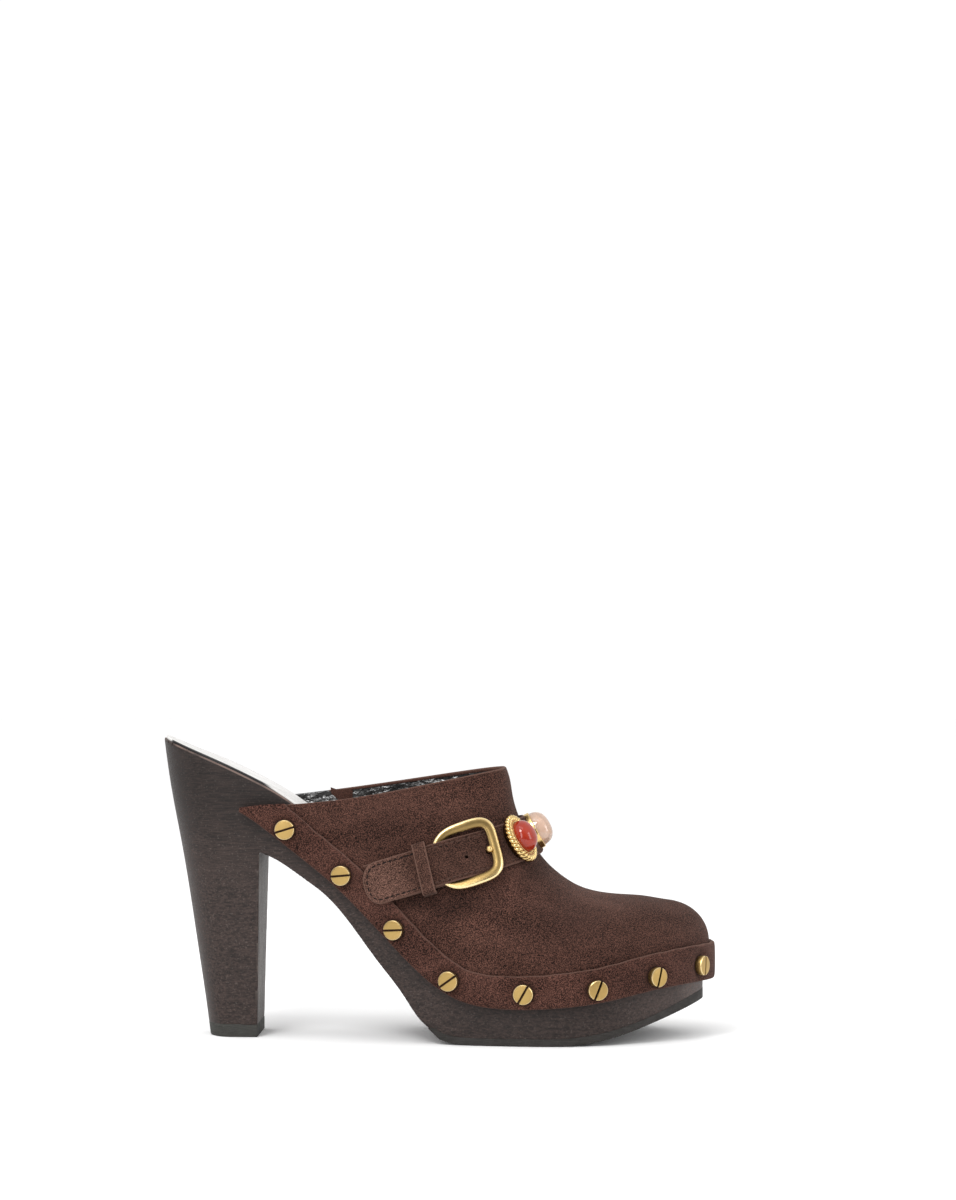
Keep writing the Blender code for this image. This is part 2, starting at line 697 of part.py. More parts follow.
def build_straps():
    """The instep strap with its free end, and the short strap that carries the buckle."""
    across = np.linspace(-0.5, 0.5, 5) * STRAP_WIDTH
    tip = 0.42 * STRAP_WIDTH
    places, steps = [], []
    for share in (0.02, 0.12, 0.3, 0.55, 0.8):
        places.append([FREE_END + tip * share] * 5)
        steps.append(across * math.sqrt(1.0 - (1.0 - share) ** 2.4))
    flat = np.arange(FREE_END + tip, 20.0, 3.2)
    bent = np.arange(21.0, RIDGE_PLACE + 22.0, 2.6)
    for place in np.concatenate([flat, bent]):
        places.append([place] * 5)
        steps.append(across)
    last = places[-1][0]
    stops = np.array([rand_stop(w, True) for w in across])
    for share in np.linspace(0.0, 1.0, 12)[1:]:
        places.append(list(last + (stops - last) * share))
        steps.append(across)
    strap = strap_solid("instep_strap", places, steps, strap_lift, "strap_suede")
    cut(strap, pin("spare_hole", SPARE_HOLE, -0.4, 0.9, -1.0, 9.0))
    cut(strap, pin("prong_hole", PRONG_HOLE, PRONG_ACROSS, 1.3, -1.5, 9.0))
    places, steps = [], []
    starts = np.array([rand_stop(w, False) for w in across])
    end = HINGE_BAR - BUCKLE_ROD - GAP - 0.3
    for share in np.linspace(0.0, 1.0, 9):
        places.append(list(starts + (end - starts) * share))
        steps.append(across)
    strap_solid("buckle_strap", places, steps, low_lift, "strap_suede")


def build_keeper():
    """The suede loop over the free end."""
    half = 0.5 * STRAP_WIDTH + 0.6
    top = strap_lift(KEEPER_PLACE) + STRAP_THICK + 0.5
    outer, crown = half + KEEPER_THICK, top + KEEPER_THICK
    section = [(-outer, GAP), (-outer, crown - 0.8), (-outer + 0.8, crown), (0.0, crown)]
    section += [(outer - 0.8, crown), (outer, crown - 0.8), (outer, GAP), (half, GAP), (half, top)]
    section += [(0.0, top), (-half, top), (-half, GAP)]
    rings = []
    for place in np.linspace(-0.5, 0.5, 4) * KEEPER_WIDTH + KEEPER_PLACE:
        rings.append(np.array([field_at(place, w, lift)[0] for w, lift in section]))
    ring_solid("keeper_loop", rings, "strap_suede")


def bar_lift(place):
    """Height of the middle of the buckle's rod."""
    low = GAP + BUCKLE_ROD
    high = GAP + STRAP_THICK + 2.0 * GAP + BUCKLE_ROD
    return low + (high - low) * float(smooth((place - HINGE_BAR) / (OUTER_BAR - HINGE_BAR)))


def rod(name, centres, radii, finish, cyclic):
    """A round rod: a curve through its centres with a round bevel."""
    curve = bpy.data.curves.new(name, "CURVE")
    curve.dimensions = "3D"
    curve.bevel_depth = MM
    curve.bevel_resolution = 2
    curve.use_fill_caps = True
    line = curve.splines.new("POLY")
    line.points.add(len(centres) - 1)
    for knot, centre, radius in zip(line.points, to_metres(centres), radii):
        knot.co = (*centre, 1.0)
        knot.radius = radius
    line.use_cyclic_u = cyclic
    curve.materials.append(FINISH[finish])
    item = bpy.data.objects.new(name, curve)
    PARTS.objects.link(item)


def build_buckle():
    """The brass frame and its prong."""
    centres = []
    for angle in np.linspace(0.0, 2.0 * math.pi, 37)[:-1]:
        c, s = math.cos(angle), math.sin(angle)
        square = BUCKLE_SQUARENESS_OUTER if c > 0.0 else BUCKLE_SQUARENESS_HINGE
        reach = (abs(c) ** square + abs(s) ** square) ** (-1.0 / square)
        place = BUCKLE_HALF_LENGTH * reach * c
        side_step = BUCKLE_ACROSS + BUCKLE_HALF_HEIGHT * reach * s
        centres.append(field_at(place, side_step, bar_lift(place))[0])
    rod("buckle_frame", centres, [BUCKLE_ROD] * len(centres), "brass", True)
    centres = [field_at(place, PRONG_ACROSS, lift)[0] for place, lift, radius in PRONG]
    rod("buckle_prong", centres, [radius for place, lift, radius in PRONG], "brass", False)


def stone_axes(place, across):
    """Matrix of a stone's seat: long axis across the strap, short axis along it, outward."""
    lift = strap_lift(place) + STRAP_THICK + STONE_SEAT
    point, normal = field_at(place, across, lift)
    long_axis = field_at(place, 6.0)[0] - field_at(place, -6.0)[0]
    long_axis -= normal * (long_axis @ normal)
    long_axis /= np.linalg.norm(long_axis)
    short_axis = np.cross(normal, long_axis)
    axes = Matrix((long_axis, short_axis, normal)).transposed().to_4x4()
    return Matrix.Translation(Vector(to_metres(point)[0])) @ axes


def build_stone(stone):
    """An oval cabochon in a brass rim."""
    seat = stone_axes(RIDGE_PLACE - stone["short_of_ridge"], stone["across"])
    long_half, short_half, rim = stone["long_half"], stone["short_half"], stone["rim"]
    work = bmesh.new()
    size = Matrix.Diagonal((long_half * MM, short_half * MM, stone["dome"] * MM, 1.0))
    bmesh.ops.create_uvsphere(work, u_segments=24, v_segments=12, radius=1.0, matrix=size)
    everything = work.verts[:] + work.edges[:] + work.faces[:]
    made = bmesh.ops.bisect_plane(
        work, geom=everything, dist=1e-7, plane_co=(0, 0, 0), plane_no=(0, 0, 1), clear_inner=True,
    )
    rim_edges = [e for e in made["geom_cut"] if isinstance(e, bmesh.types.BMEdge)]
    bmesh.ops.holes_fill(work, edges=rim_edges)
    work.transform(seat)
    mesh = bpy.data.meshes.new(stone["name"])
    work.to_mesh(mesh)
    work.free()
    turn_outward(mesh)
    place_mesh(stone["name"], mesh, stone["finish"])
    bpy.ops.mesh.primitive_torus_add(
        major_segments=28, minor_segments=8, major_radius=1.0, minor_radius=0.5,
    )
    ring = bpy.context.active_object
    mesh = ring.data.copy()
    bpy.data.objects.remove(ring, do_unlink=True)
    for corner in mesh.vertices:
        across = math.hypot(corner.co.x, corner.co.y)
        out = GAP + rim * (across - 0.5)
        corner.co.x *= (long_half + out) * MM / across
        corner.co.y *= (short_half + out) * MM / across
        corner.co.z = (corner.co.z + 0.5) * stone["rim_height"] * MM
    mesh.transform(seat)
    place_mesh(stone["name"] + "_bezel", mesh, "brass")


def screw_mesh():
    """A slotted screw head, lying in the level plane, in metres."""
    work = bmesh.new()
    bmesh.ops.create_cone(
        work, cap_ends=True, segments=20, radius1=SCREW_RADIUS * MM,
        radius2=SCREW_RADIUS * MM, depth=SCREW_HEIGHT * MM,
        matrix=Matrix.Translation((0.0, 0.0, 0.5 * SCREW_HEIGHT * MM)),
    )
    rim = [e for e in work.edges if min(v.co.z for v in e.verts) > 0.9 * SCREW_HEIGHT * MM]
    bmesh.ops.bevel(work, geom=rim, offset=0.35 * MM, segments=1, affect="EDGES")
    head_mesh = bpy.data.meshes.new("screw_head")
    work.to_mesh(head_mesh)
    work.free()
    head = place_mesh("screw_head", head_mesh, None)
    work = bmesh.new()
    size = Matrix.Diagonal((12.0 * MM, SLOT_WIDTH * MM, 2.0 * SLOT_DEPTH * MM, 1.0))
    bmesh.ops.create_cube(work, size=1.0, matrix=Matrix.Translation((0.0, 0.0, SCREW_HEIGHT * MM)) @ size)
    slot_mesh = bpy.data.meshes.new("screw_slot")
    work.to_mesh(slot_mesh)
    work.free()
    slot = place_mesh("screw_slot", slot_mesh, None)
    cut(head, slot)
    bpy.context.view_layer.update()
    depsgraph = bpy.context.evaluated_depsgraph_get()
    finished = bpy.data.meshes.new_from_object(head.evaluated_get(depsgraph))
    bpy.data.objects.remove(head, do_unlink=True)
    bpy.data.objects.remove(slot, do_unlink=True)
    return finished


def build_screws():
    """The screw heads on both sides of the rand."""
    master = screw_mesh()
    toe_places = np.linspace(0.0, TOE_PLACE, 600)
    toe_x = RIB_AT(toe_places)[:, 0]
    for side, name in ((-1, "lateral"), (1, "medial")):
        for number, row in enumerate(SCREWS, 1):
            screw = dict(zip(SCREW_COLUMNS, row))
            place = np.interp(screw["edge_x"], toe_x, toe_places)
            place = np.array([place if side < 0 else FULL - place])
            level = np.append(plan_normal(place)[0], 0.0)
            foot = RIB_AT(place)[0, :3] + level * (RAND_WALL + 2.0 * GAP + 0.1)
            foot[2] += screw["up"]
            side_axis = np.cross((0.0, 0.0, 1.0), level)
            axes = Matrix((side_axis, (0.0, 0.0, 1.0), level)).transposed().to_4x4()
            turn = Matrix.Rotation(math.radians(screw["slot"]), 4, "Z")
            where = Matrix.Translation(Vector(to_metres(foot)[0]))
            mesh = master.copy()
            mesh.transform(where @ axes @ turn)
            place_mesh("screw_%s_%d" % (name, number), mesh, "brass")
    bpy.data.meshes.remove(master)


def build():
    """Build every piece."""
    build_wood()
    build_outsole()
    build_lift()
    build_insole()
    build_upper()
    build_rand()
    build_straps()
    build_keeper()
    build_buckle()
    for row in STONES:
        build_stone(dict(zip(STONE_COLUMNS, row)))
    build_screws()


build()
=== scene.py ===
# %% [markdown]
# # A platform clog in suede, wood and brass
# This lesson dresses a plain solid model of a right-foot clog. The solids already have the true
# sizes, so the first step loads them as a fixed frame in metres: +X to the toe, -Y to the outer
# side of the foot, the floor at z = 0. Every piece made later rides on that frame.

# %% Load the frame
import math

import bmesh
import bpy
import numpy as np
from mathutils import Matrix, Vector


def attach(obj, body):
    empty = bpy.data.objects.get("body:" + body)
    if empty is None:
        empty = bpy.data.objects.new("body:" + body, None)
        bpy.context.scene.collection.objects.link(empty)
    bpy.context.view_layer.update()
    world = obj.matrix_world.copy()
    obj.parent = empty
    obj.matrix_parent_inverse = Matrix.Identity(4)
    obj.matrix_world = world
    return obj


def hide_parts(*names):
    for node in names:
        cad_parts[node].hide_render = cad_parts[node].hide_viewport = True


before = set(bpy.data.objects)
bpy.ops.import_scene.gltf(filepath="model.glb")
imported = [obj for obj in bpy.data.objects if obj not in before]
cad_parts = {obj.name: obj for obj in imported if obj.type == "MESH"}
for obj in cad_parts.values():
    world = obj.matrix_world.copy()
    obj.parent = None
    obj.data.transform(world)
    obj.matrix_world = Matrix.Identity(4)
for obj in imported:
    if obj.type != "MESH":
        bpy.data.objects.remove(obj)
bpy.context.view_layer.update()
MM = 0.001
SHIFT = np.array([0.05, 1.9, 0.0])

# %% [markdown]
# ## The shape that all soft parts share
# The upper of a clog is one sheet of leather pulled over a last and nailed to the wood. A good
# model of it is a fan of ribs: each rib starts at the lower edge, climbs the side of the wood and
# curves over to the ridge of the foot. A short table of ribs and a spline between them give the
# whole skin, and the rand, the straps and the wood are worked out from the same ribs, so all of
# them fit without any measuring. Modelling by hand would also work, but then each seam would
# have to be fitted by eye.

# %% Ribs of the upper
RIB_COLUMNS = (
    "edge_x", "lateral_y", "medial_y", "edge_z", "wall", "ridge_x", "ridge_z",
    "roundness", "lead", "bulge", "lateral_sag", "medial_sag",
)
RIBS = (
    (-78.3, -27.7, 27.5, 94.9, 0.0, 27.0, 109.8, 3.6, 1.0, 0.0, 3.1, 0.9),
    (-60.7, -28.2, 26.9, 79.2, 12.0, 28.9, 104.0, 3.4, 1.0, 0.3, 1.0, 0.4),
    (-42.0, -30.0, 26.6, 64.0, 16.5, 30.2, 96.5, 3.1, 1.0, 0.6, 0.0, 0.0),
    (-26.0, -33.2, 27.8, 48.6, 16.0, 32.6, 89.0, 2.8, 1.0, 1.0, 0.0, 0.0),
    (-8.5, -37.7, 31.5, 31.0, 15.6, 36.5, 81.5, 2.5, 1.0, 1.4, 0.0, 0.0),
    (9.0, -42.3, 37.2, 18.7, 13.5, 41.8, 73.0, 2.3, 1.0, 1.4, 0.0, 0.0),
    (30.5, -45.8, 41.8, 15.1, 12.0, 49.4, 65.5, 2.2, 1.0, 1.0, 0.0, 0.0),
    (50.0, -46.7, 43.0, 15.8, 11.3, 59.3, 59.8, 2.1, 1.0, 0.6, 0.0, 0.0),
    (66.5, -43.8, 42.3, 17.8, 11.0, 70.6, 57.5, 2.1, 0.9, 0.3, 0.0, 0.0),
    (82.5, -36.2, 38.7, 21.0, 11.2, 81.0, 56.8, 2.1, 0.5, 0.0, 0.0, 0.0),
    (99.4, -20.6, 28.2, 23.0, 12.7, 87.6, 55.7, 2.1, 0.1, 0.0, 0.0, 0.0),
    (105.8, -10.0, 20.0, 23.1, 13.8, 89.8, 55.3, 2.1, 0.0, 0.0, 0.0, 0.0),
    (110.6, 6.0, 6.0, 22.9, 14.6, 90.6, 55.2, 2.1, 0.0, 0.0, 0.0, 0.0),
)
RIDGE_SWING = 3.0
SWING_FROM = 30.0
SWING_TO = 90.0
print("ribs of the upper:", len(RIBS))

# %% Curves through a table
def smooth(x):
    """Ease from 0 to 1."""
    x = np.clip(x, 0.0, 1.0)
    return x * x * (3.0 - 2.0 * x)


def ramp(value, start, stop):
    """Ease from 0 at the start to 1 at the stop."""
    return smooth((value - start) / (stop - start))


def named(columns, rows):
    """Rows of a table as dictionaries."""
    return [dict(zip(columns, row)) for row in rows]


def ridge_swing(x):
    """How far the ridge of the foot swings to the medial side."""
    return RIDGE_SWING * ramp(x, SWING_FROM, SWING_TO)


def natural_spline(knots, rows):
    """Return a function for the smooth curve through the rows at the knots."""
    knots = np.asarray(knots, float)
    rows = np.asarray(rows, float).reshape(len(knots), -1)
    step = np.diff(knots)
    count = len(knots)
    system = np.eye(count)
    right = np.zeros_like(rows)
    slopes = np.diff(rows, axis=0) / step[:, None]
    for i in range(1, count - 1):
        system[i, i - 1:i + 2] = step[i - 1], 2.0 * (step[i - 1] + step[i]), step[i]
        right[i] = 6.0 * (slopes[i] - slopes[i - 1])
    bend = np.linalg.solve(system, right)

    def curve(at):
        at = np.atleast_1d(np.asarray(at, float))
        i = np.clip(np.searchsorted(knots, at) - 1, 0, count - 2)
        h = step[i][:, None]
        a = (knots[i + 1] - at)[:, None] / h
        b = 1.0 - a
        pull = (a ** 3 - a) * bend[i] + (b ** 3 - b) * bend[i + 1]
        return a * rows[i] + b * rows[i + 1] + pull * h * h / 6.0

    return curve


def rib_sequence():
    """Rib values from the lateral rear tip, round the toe, to the medial rear tip."""
    lateral, medial = [], []
    for rib in named(RIB_COLUMNS, RIBS):
        ridge_y = float(ridge_swing(rib["ridge_x"]))
        shared = [rib["edge_z"], rib["wall"], rib["ridge_x"], ridge_y, rib["ridge_z"]]
        shared += [rib["roundness"], rib["lead"], rib["bulge"]]
        lateral.append([rib["edge_x"], rib["lateral_y"]] + shared + [rib["lateral_sag"]])
        medial.append([rib["edge_x"], rib["medial_y"]] + shared + [rib["medial_sag"]])
    lateral, medial = np.array(lateral), np.array(medial)
    chords = [np.linalg.norm(np.diff(side[:, :3], axis=0), axis=1) for side in (lateral, medial)]
    half = np.concatenate([[0.0], np.cumsum(0.5 * (chords[0] + chords[1]))])
    knots = np.concatenate([half, 2.0 * half[-1] - half[-2::-1]])
    return knots, np.concatenate([lateral, medial[-2::-1]])


KNOTS, RIB_ROWS = rib_sequence()
RIB_AT = natural_spline(KNOTS, RIB_ROWS)
TOE_PLACE = KNOTS[len(RIBS) - 1]
FULL = KNOTS[-1]
print("lower edge of the upper: %.0f mm round" % FULL)

# %% Walk along a rib
TOE_CROWDING = 0.16


def unit(rows):
    """Vectors scaled to length 1."""
    return rows / np.maximum(np.linalg.norm(rows, axis=-1, keepdims=True), 1e-9)


def rib_line(place, count=260):
    """Points of one rib, from the lower edge up the wall and over to the ridge."""
    x, y, z, wall, ridge_x, ridge_y, ridge_z, roundness, lead, bulge, sag = RIB_AT(place)[0]
    turn = 0.25 * math.pi * (1.0 - np.cos(np.linspace(0.0, math.pi, count)))
    rise = np.sin(turn) ** (2.0 / roundness)
    stay = np.cos(turn) ** (2.0 / roundness)
    out = np.sign(y - ridge_y)
    arch = np.stack([
        x + (ridge_x - x) * (lead * rise + (1.0 - lead) * (1.0 - stay)),
        ridge_y + (y - ridge_y) * stay + out * bulge * 4.0 * rise * (1.0 - rise),
        z + wall + (ridge_z - z - wall) * rise - sag * np.sin(math.pi * rise) * (1.35 - rise),
    ], axis=1)
    foot = np.linspace([x, y, z], [x, y, z + wall], 12)[:-1]
    return np.concatenate([foot, arch])


def lengths(line):
    """Distance of each point of a line from the first one, along the line."""
    return np.concatenate([[0.0], np.cumsum(np.linalg.norm(np.diff(line, axis=0), axis=1))])


def walk(line, distances):
    """Points at the given distances along a line of points."""
    length = lengths(line)
    return np.stack([np.interp(distances, length, line[:, k]) for k in range(3)], axis=1)


def rib_places(count):
    """Places round the lower edge, closer together at the toe, the same on both sides."""
    share = np.linspace(0.0, 1.0, count)
    half = TOE_PLACE * (share + TOE_CROWDING * np.sin(math.pi * share) * share)
    return np.concatenate([half, FULL - half[-2::-1]])


EDGE = RIB_AT(np.linspace(0.0, FULL, 700))[:, :3]


def plan_normal(places):
    """Level outward direction of the lower edge."""
    ahead = RIB_AT(np.minimum(places + 0.5, FULL))[:, :2]
    behind = RIB_AT(np.maximum(places - 0.5, 0.0))[:, :2]
    run = unit(ahead - behind)
    return np.stack([run[:, 1], -run[:, 0]], axis=1)


def edge_distance(points):
    """Distance of points from the lower edge."""
    gaps = np.linalg.norm(points[:, None, :] - EDGE[None, :, :], axis=2)
    return gaps.min(axis=1)


def grid_normals(grid):
    """Outward normals of a grid of points laid out as [along][up]."""
    return unit(np.cross(np.gradient(grid, axis=0), np.gradient(grid, axis=1)))


print("length of the middle rib: %.0f mm" % lengths(rib_line(TOE_PLACE))[-1])

# %% [markdown]
# ## A small kit for making pieces
# Each piece below is a mesh from points in millimetres. One helper moves them into the frame, makes the
# object, lets it ride on the shoe's only body and hides the solids that it stands for. Two more helpers
# loft a closed ring of points along a path and join several meshes into one.

# %% Points and faces
def to_metres(points):
    """Points in millimetres of the shoe, in metres of the frame."""
    return (np.asarray(points, float).reshape(-1, 3) + SHIFT) * MM


def round_faces(columns, rows):
    """Quads of a grid of points laid out as [column][row], whose last column meets the first."""
    faces = []
    for i in range(columns):
        j = (i + 1) % columns
        for k in range(rows - 1):
            faces.append((i * rows + k, j * rows + k, j * rows + k + 1, i * rows + k + 1))
    return faces


def loft(rings, closed=False):
    """Points and faces of a loft through rings of points; an open one has a cap at each end."""
    rings = [np.asarray(ring, float) for ring in rings]
    count, size = len(rings), len(rings[0])
    faces = []
    for i in range(count if closed else count - 1):
        j = (i + 1) % count
        for k in range(size):
            m = (k + 1) % size
            faces.append((i * size + k, i * size + m, j * size + m, j * size + k))
    if not closed:
        faces.append(tuple(range(size - 1, -1, -1)))
        faces.append(tuple((count - 1) * size + k for k in range(size)))
    return np.concatenate(rings), faces


def joined(parts):
    """Points and faces of several meshes as one."""
    points, faces, start = [], [], 0
    for part_points, part_faces in parts:
        points.append(np.asarray(part_points, float))
        faces += [tuple(start + q for q in face) for face in part_faces]
        start += len(part_points)
    return np.concatenate(points), faces


# %% Meshes and pieces
def store(mesh, name, values):
    """Keep one number per point on a mesh, for a material to read."""
    layer = mesh.attributes.new(name, "FLOAT", "POINT")
    layer.data.foreach_set("value", np.asarray(values, np.float32).ravel())


def mesh_from(name, points, faces, marks=None, weld=2e-6):
    """A mesh with its doubled points welded and its faces turned outward."""
    mesh = bpy.data.meshes.new(name)
    mesh.from_pydata([tuple(p) for p in to_metres(points)], [], faces)
    for mark, values in (marks or {}).items():
        store(mesh, mark, values)
    work = bmesh.new()
    work.from_mesh(mesh)
    bmesh.ops.remove_doubles(work, verts=work.verts, dist=weld)
    bmesh.ops.dissolve_degenerate(work, edges=work.edges, dist=1e-8)
    bmesh.ops.recalc_face_normals(work, faces=work.faces)
    if work.calc_volume(signed=True) < 0.0:
        bmesh.ops.reverse_faces(work, faces=work.faces)
    work.to_mesh(mesh)
    work.free()
    return mesh


def put(name, data):
    """A new object in the scene."""
    item = bpy.data.objects.new(name, data)
    bpy.context.scene.collection.objects.link(item)
    return item


def dress(name, mesh, nodes=(), sharp=40.0):
    """Put a mesh in the scene as a piece of the shoe."""
    piece = put(name, mesh)
    mesh.shade_smooth()
    mesh.set_sharp_from_angle(angle=math.radians(sharp))
    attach(piece, "root")
    if nodes:
        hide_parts(*nodes)
    print("%s: %d faces" % (name, len(mesh.polygons)))
    return piece


def finished_mesh(piece, name):
    """The mesh of an object with its modifiers worked in; the object itself goes."""
    bpy.context.view_layer.update()
    depsgraph = bpy.context.evaluated_depsgraph_get()
    mesh = bpy.data.meshes.new_from_object(piece.evaluated_get(depsgraph))
    mesh.name = name
    bpy.data.objects.remove(piece, do_unlink=True)
    return mesh


def mesh_points(mesh):
    """Points of a mesh in millimetres of the shoe."""
    flat = np.zeros(len(mesh.vertices) * 3)
    mesh.vertices.foreach_get("co", flat)
    return flat.reshape(-1, 3) / MM - SHIFT


# %% [markdown]
# ## The suede upper
# The upper is about 2 mm of suede glued to a black lining, with a raw hem hidden under the rand and a
# rolled lip at the collar. It is drawn as a dense grid of rib points. A few soft creases, where the foot
# bends and where the buckle drags on the leather, are listed one by one: each is a line in side view that
# pushes the skin in along its middle and lets it swell on both sides.
# Sculpting would give the same forms, but a table can be read and changed.

# %% Creases of the upper
CREASE_COLUMNS = ("side", "from_x", "from_z", "to_x", "to_z", "bow", "width", "depth")
CREASES = (
    (-1, 3.0, 53.5, 24.0, 50.0, 2.0, 5.0, 0.55),
    (-1, -6.0, 58.0, 6.0, 47.0, -1.5, 4.5, 0.40),
    (-1, 26.0, 60.0, 20.0, 44.0, 2.0, 5.0, 0.38),
    (-1, 58.5, 57.5, 45.0, 40.0, 3.0, 5.5, 0.42),
    (-1, 69.0, 55.5, 61.0, 41.0, 2.0, 5.0, 0.30),
    (-1, 80.0, 54.0, 78.0, 44.0, -1.0, 5.0, 0.22),
    (-1, -34.0, 88.0, -8.0, 86.0, -1.5, 6.0, 0.30),
    (1, 57.0, 58.0, 40.0, 42.0, 3.0, 5.5, 0.50),
    (1, 68.0, 55.5, 57.0, 42.0, 2.0, 5.0, 0.35),
    (1, 0.0, 56.0, 20.0, 46.0, 2.0, 6.0, 0.45),
    (1, -36.0, 86.0, -10.0, 88.0, 1.5, 6.0, 0.30),
)
SIDE_BLEND = 12.0
print("creases:", len(CREASES))


def crease_push(points, side_of):
    """How far each point moves outward; troughs are negative and their banks positive."""
    push = np.zeros(len(points))
    for crease in named(CREASE_COLUMNS, CREASES):
        start = np.array([crease["from_x"], crease["from_z"]])
        run = np.array([crease["to_x"], crease["to_z"]]) - start
        length = np.linalg.norm(run)
        run /= length
        away = np.array([-run[1], run[0]])
        off = points[:, [0, 2]] - start
        along = off @ run / length
        gap = off @ away - crease["bow"] * 4.0 * along * (1.0 - along)
        taper = np.exp(-((along - 0.45) / 0.36) ** 4) * smooth(0.5 + side_of * crease["side"] / SIDE_BLEND)
        wave = gap / crease["width"]
        push -= crease["depth"] * taper * (1.0 - 1.1 * wave ** 2) * np.exp(-wave ** 2)
    return push


# %% [markdown]
# The rear wing of the upper does not end in a needle: its tip is cut off blunt and hangs a little
# lower than the ribs say. Upper and rand are both bent there by one small function, which reads a
# point's distance from the tip along the lower edge and along the collar.

# %% Blunt rear tips
TIP_LOW = np.array([-1.6, 0.0, -2.4])
TIP_HIGH = np.array([-2.9, 0.0, -0.8])
TIP_BLUNT = 2.2
TIP_FADE_UP = 7.0
TIP_FADE_ALONG = 11.0
TIP_EDGE = 3.0
TIP_COLLAR = 5.0
TIP_SIDE = 12.0


def tip_frame(place, inner):
    """The rear tip at one end of the ribs, and the directions of lower edge and collar there."""
    tip, ahead = RIB_AT(np.array([place, inner]))[:, :3]
    line = rib_line(place)
    collar = line[int(np.argmax(edge_distance(line) > TIP_COLLAR))] - tip
    return tip, unit(np.array([(ahead - tip)[[0, 2]], collar[[0, 2]]]))


WINGS = (tip_frame(0.0, TIP_EDGE), tip_frame(FULL, FULL - TIP_EDGE))
print("rear tips, lateral and medial:", [wing[0].round(1).tolist() for wing in WINGS])


def blunt_tips(points):
    """Points of the rear wings, bent to a short blunt end."""
    moved = np.array(points)
    for tip, axes in WINGS:
        along, up = np.maximum(np.linalg.solve(axes.T, (moved - tip)[:, [0, 2]].T), 0.0)
        share = smooth(up / TIP_BLUNT)[:, None]
        fade = (1.0 - smooth((up - TIP_BLUNT) / TIP_FADE_UP)) * np.exp(-along / TIP_FADE_ALONG)
        fade *= np.abs(moved[:, 1] - tip[1]) < TIP_SIDE
        moved += ((1.0 - share) * TIP_LOW + share * TIP_HIGH) * fade[:, None]
    return moved


# %% [markdown]
# Stroked suede keeps lighter and darker patches. The larger ones of this shoe are listed, like the creases:
# soft ovals in side view, each with a tone. Their sum becomes the number "shade" on every point, and the
# material lightens or darkens the leather by it.
# Three dark patches on the lateral side are not nap but painted shadow that the strap and its free end cast
# on the upper.

# %% Brushed patches and painted shadows
PATCH_COLUMNS = ("side", "x", "z", "long", "tall", "tilt", "tone")
UPPER_PATCHES_AND_SHADOWS = (
    (-1, 16.0, 48.0, 11.0, 6.0, -12.0, 0.26),
    (-1, 30.5, 61.0, 2.6, 7.0, -12.0, 0.30),
    (-1, 59.0, 60.0, 16.0, 4.0, -24.0, 0.26),
    # painted shadow under the strap
    (-1, 9.0, 55.5, 11.0, 5.0, 16.0, -0.48),
    # painted shadow under the free end of the strap
    (-1, -8.0, 57.0, 12.0, 3.6, 16.0, -0.42),
    # painted shadow under the strap, right of the buckle
    (-1, 38.0, 67.5, 9.0, 4.0, 10.0, -0.28),
    (-1, 76.0, 48.0, 34.0, 18.0, 0.0, -0.09),
    (-1, 52.0, 49.0, 15.0, 8.0, -15.0, -0.16),
    (-1, -20.0, 86.0, 17.0, 8.0, 10.0, -0.18),
    (-1, 12.0, 99.0, 24.0, 6.0, 8.0, 0.10),
    (-1, 18.0, 33.0, 14.0, 4.0, -5.0, 0.16),
    (-1, 76.0, 36.0, 18.0, 5.0, 8.0, -0.14),
    (-1, 74.0, 50.0, 9.0, 5.0, 20.0, 0.12),
    (1, 14.0, 52.0, 14.0, 7.0, 20.0, 0.22),
    (1, 46.0, 46.0, 12.0, 8.0, -20.0, -0.20),
    (1, -14.0, 84.0, 16.0, 7.0, 5.0, 0.16),
)


def patch_shade(points, patches):
    """Sum of the tones of the patches at each point: brushed nap, painted shadow and painted highlight."""
    points = np.asarray(points, float).reshape(-1, 3)
    side_of = points[:, 1] - ridge_swing(points[:, 0])
    shade = np.zeros(len(points))
    for patch in named(PATCH_COLUMNS, patches):
        turn = math.radians(patch["tilt"])
        off = points[:, [0, 2]] - (patch["x"], patch["z"])
        along = off @ (math.cos(turn), math.sin(turn)) / patch["long"]
        up = off @ (-math.sin(turn), math.cos(turn)) / patch["tall"]
        near = smooth(0.5 + side_of * patch["side"] / SIDE_BLEND)
        shade += patch["tone"] * near * np.exp(-along ** 2 - up ** 2)
    return shade


# %% Skin, lining and collar lip
TAB_FROM = -47.0
TAB_TO = -37.5
UPPER_WALL = 1.9
UPPER_HEM = 1.2
LIP = 0.5 * UPPER_WALL
HEM_FADE = 12.0
COLLAR_COLUMNS = 5
LIP_STEPS = 7
SKIN_COLUMNS = 128
SKIN_ROWS = 76


def skin_grid(places, rows):
    """Points of the upper's outer skin as [place][row], from the hem to the ridge."""
    columns = []
    for place in places:
        line = rib_line(place)
        hem = UPPER_HEM * min(1.0, place / HEM_FADE, (FULL - place) / HEM_FADE)
        columns.append(walk(line, np.linspace(hem, lengths(line)[-1], rows)))
    return np.array(columns)


def pull_from_collar(grid, amount):
    """Draw the columns next to the collar back, so that the rolled lip ends at the collar line."""
    for edge, inner, step in ((0, 1, 1), (len(grid) - 1, len(grid) - 2, -1)):
        away = unit(grid[inner] - grid[edge])
        for i in range(COLLAR_COLUMNS):
            grid[edge + step * i] += away * amount * (1.0 - i / COLLAR_COLUMNS)
    return grid


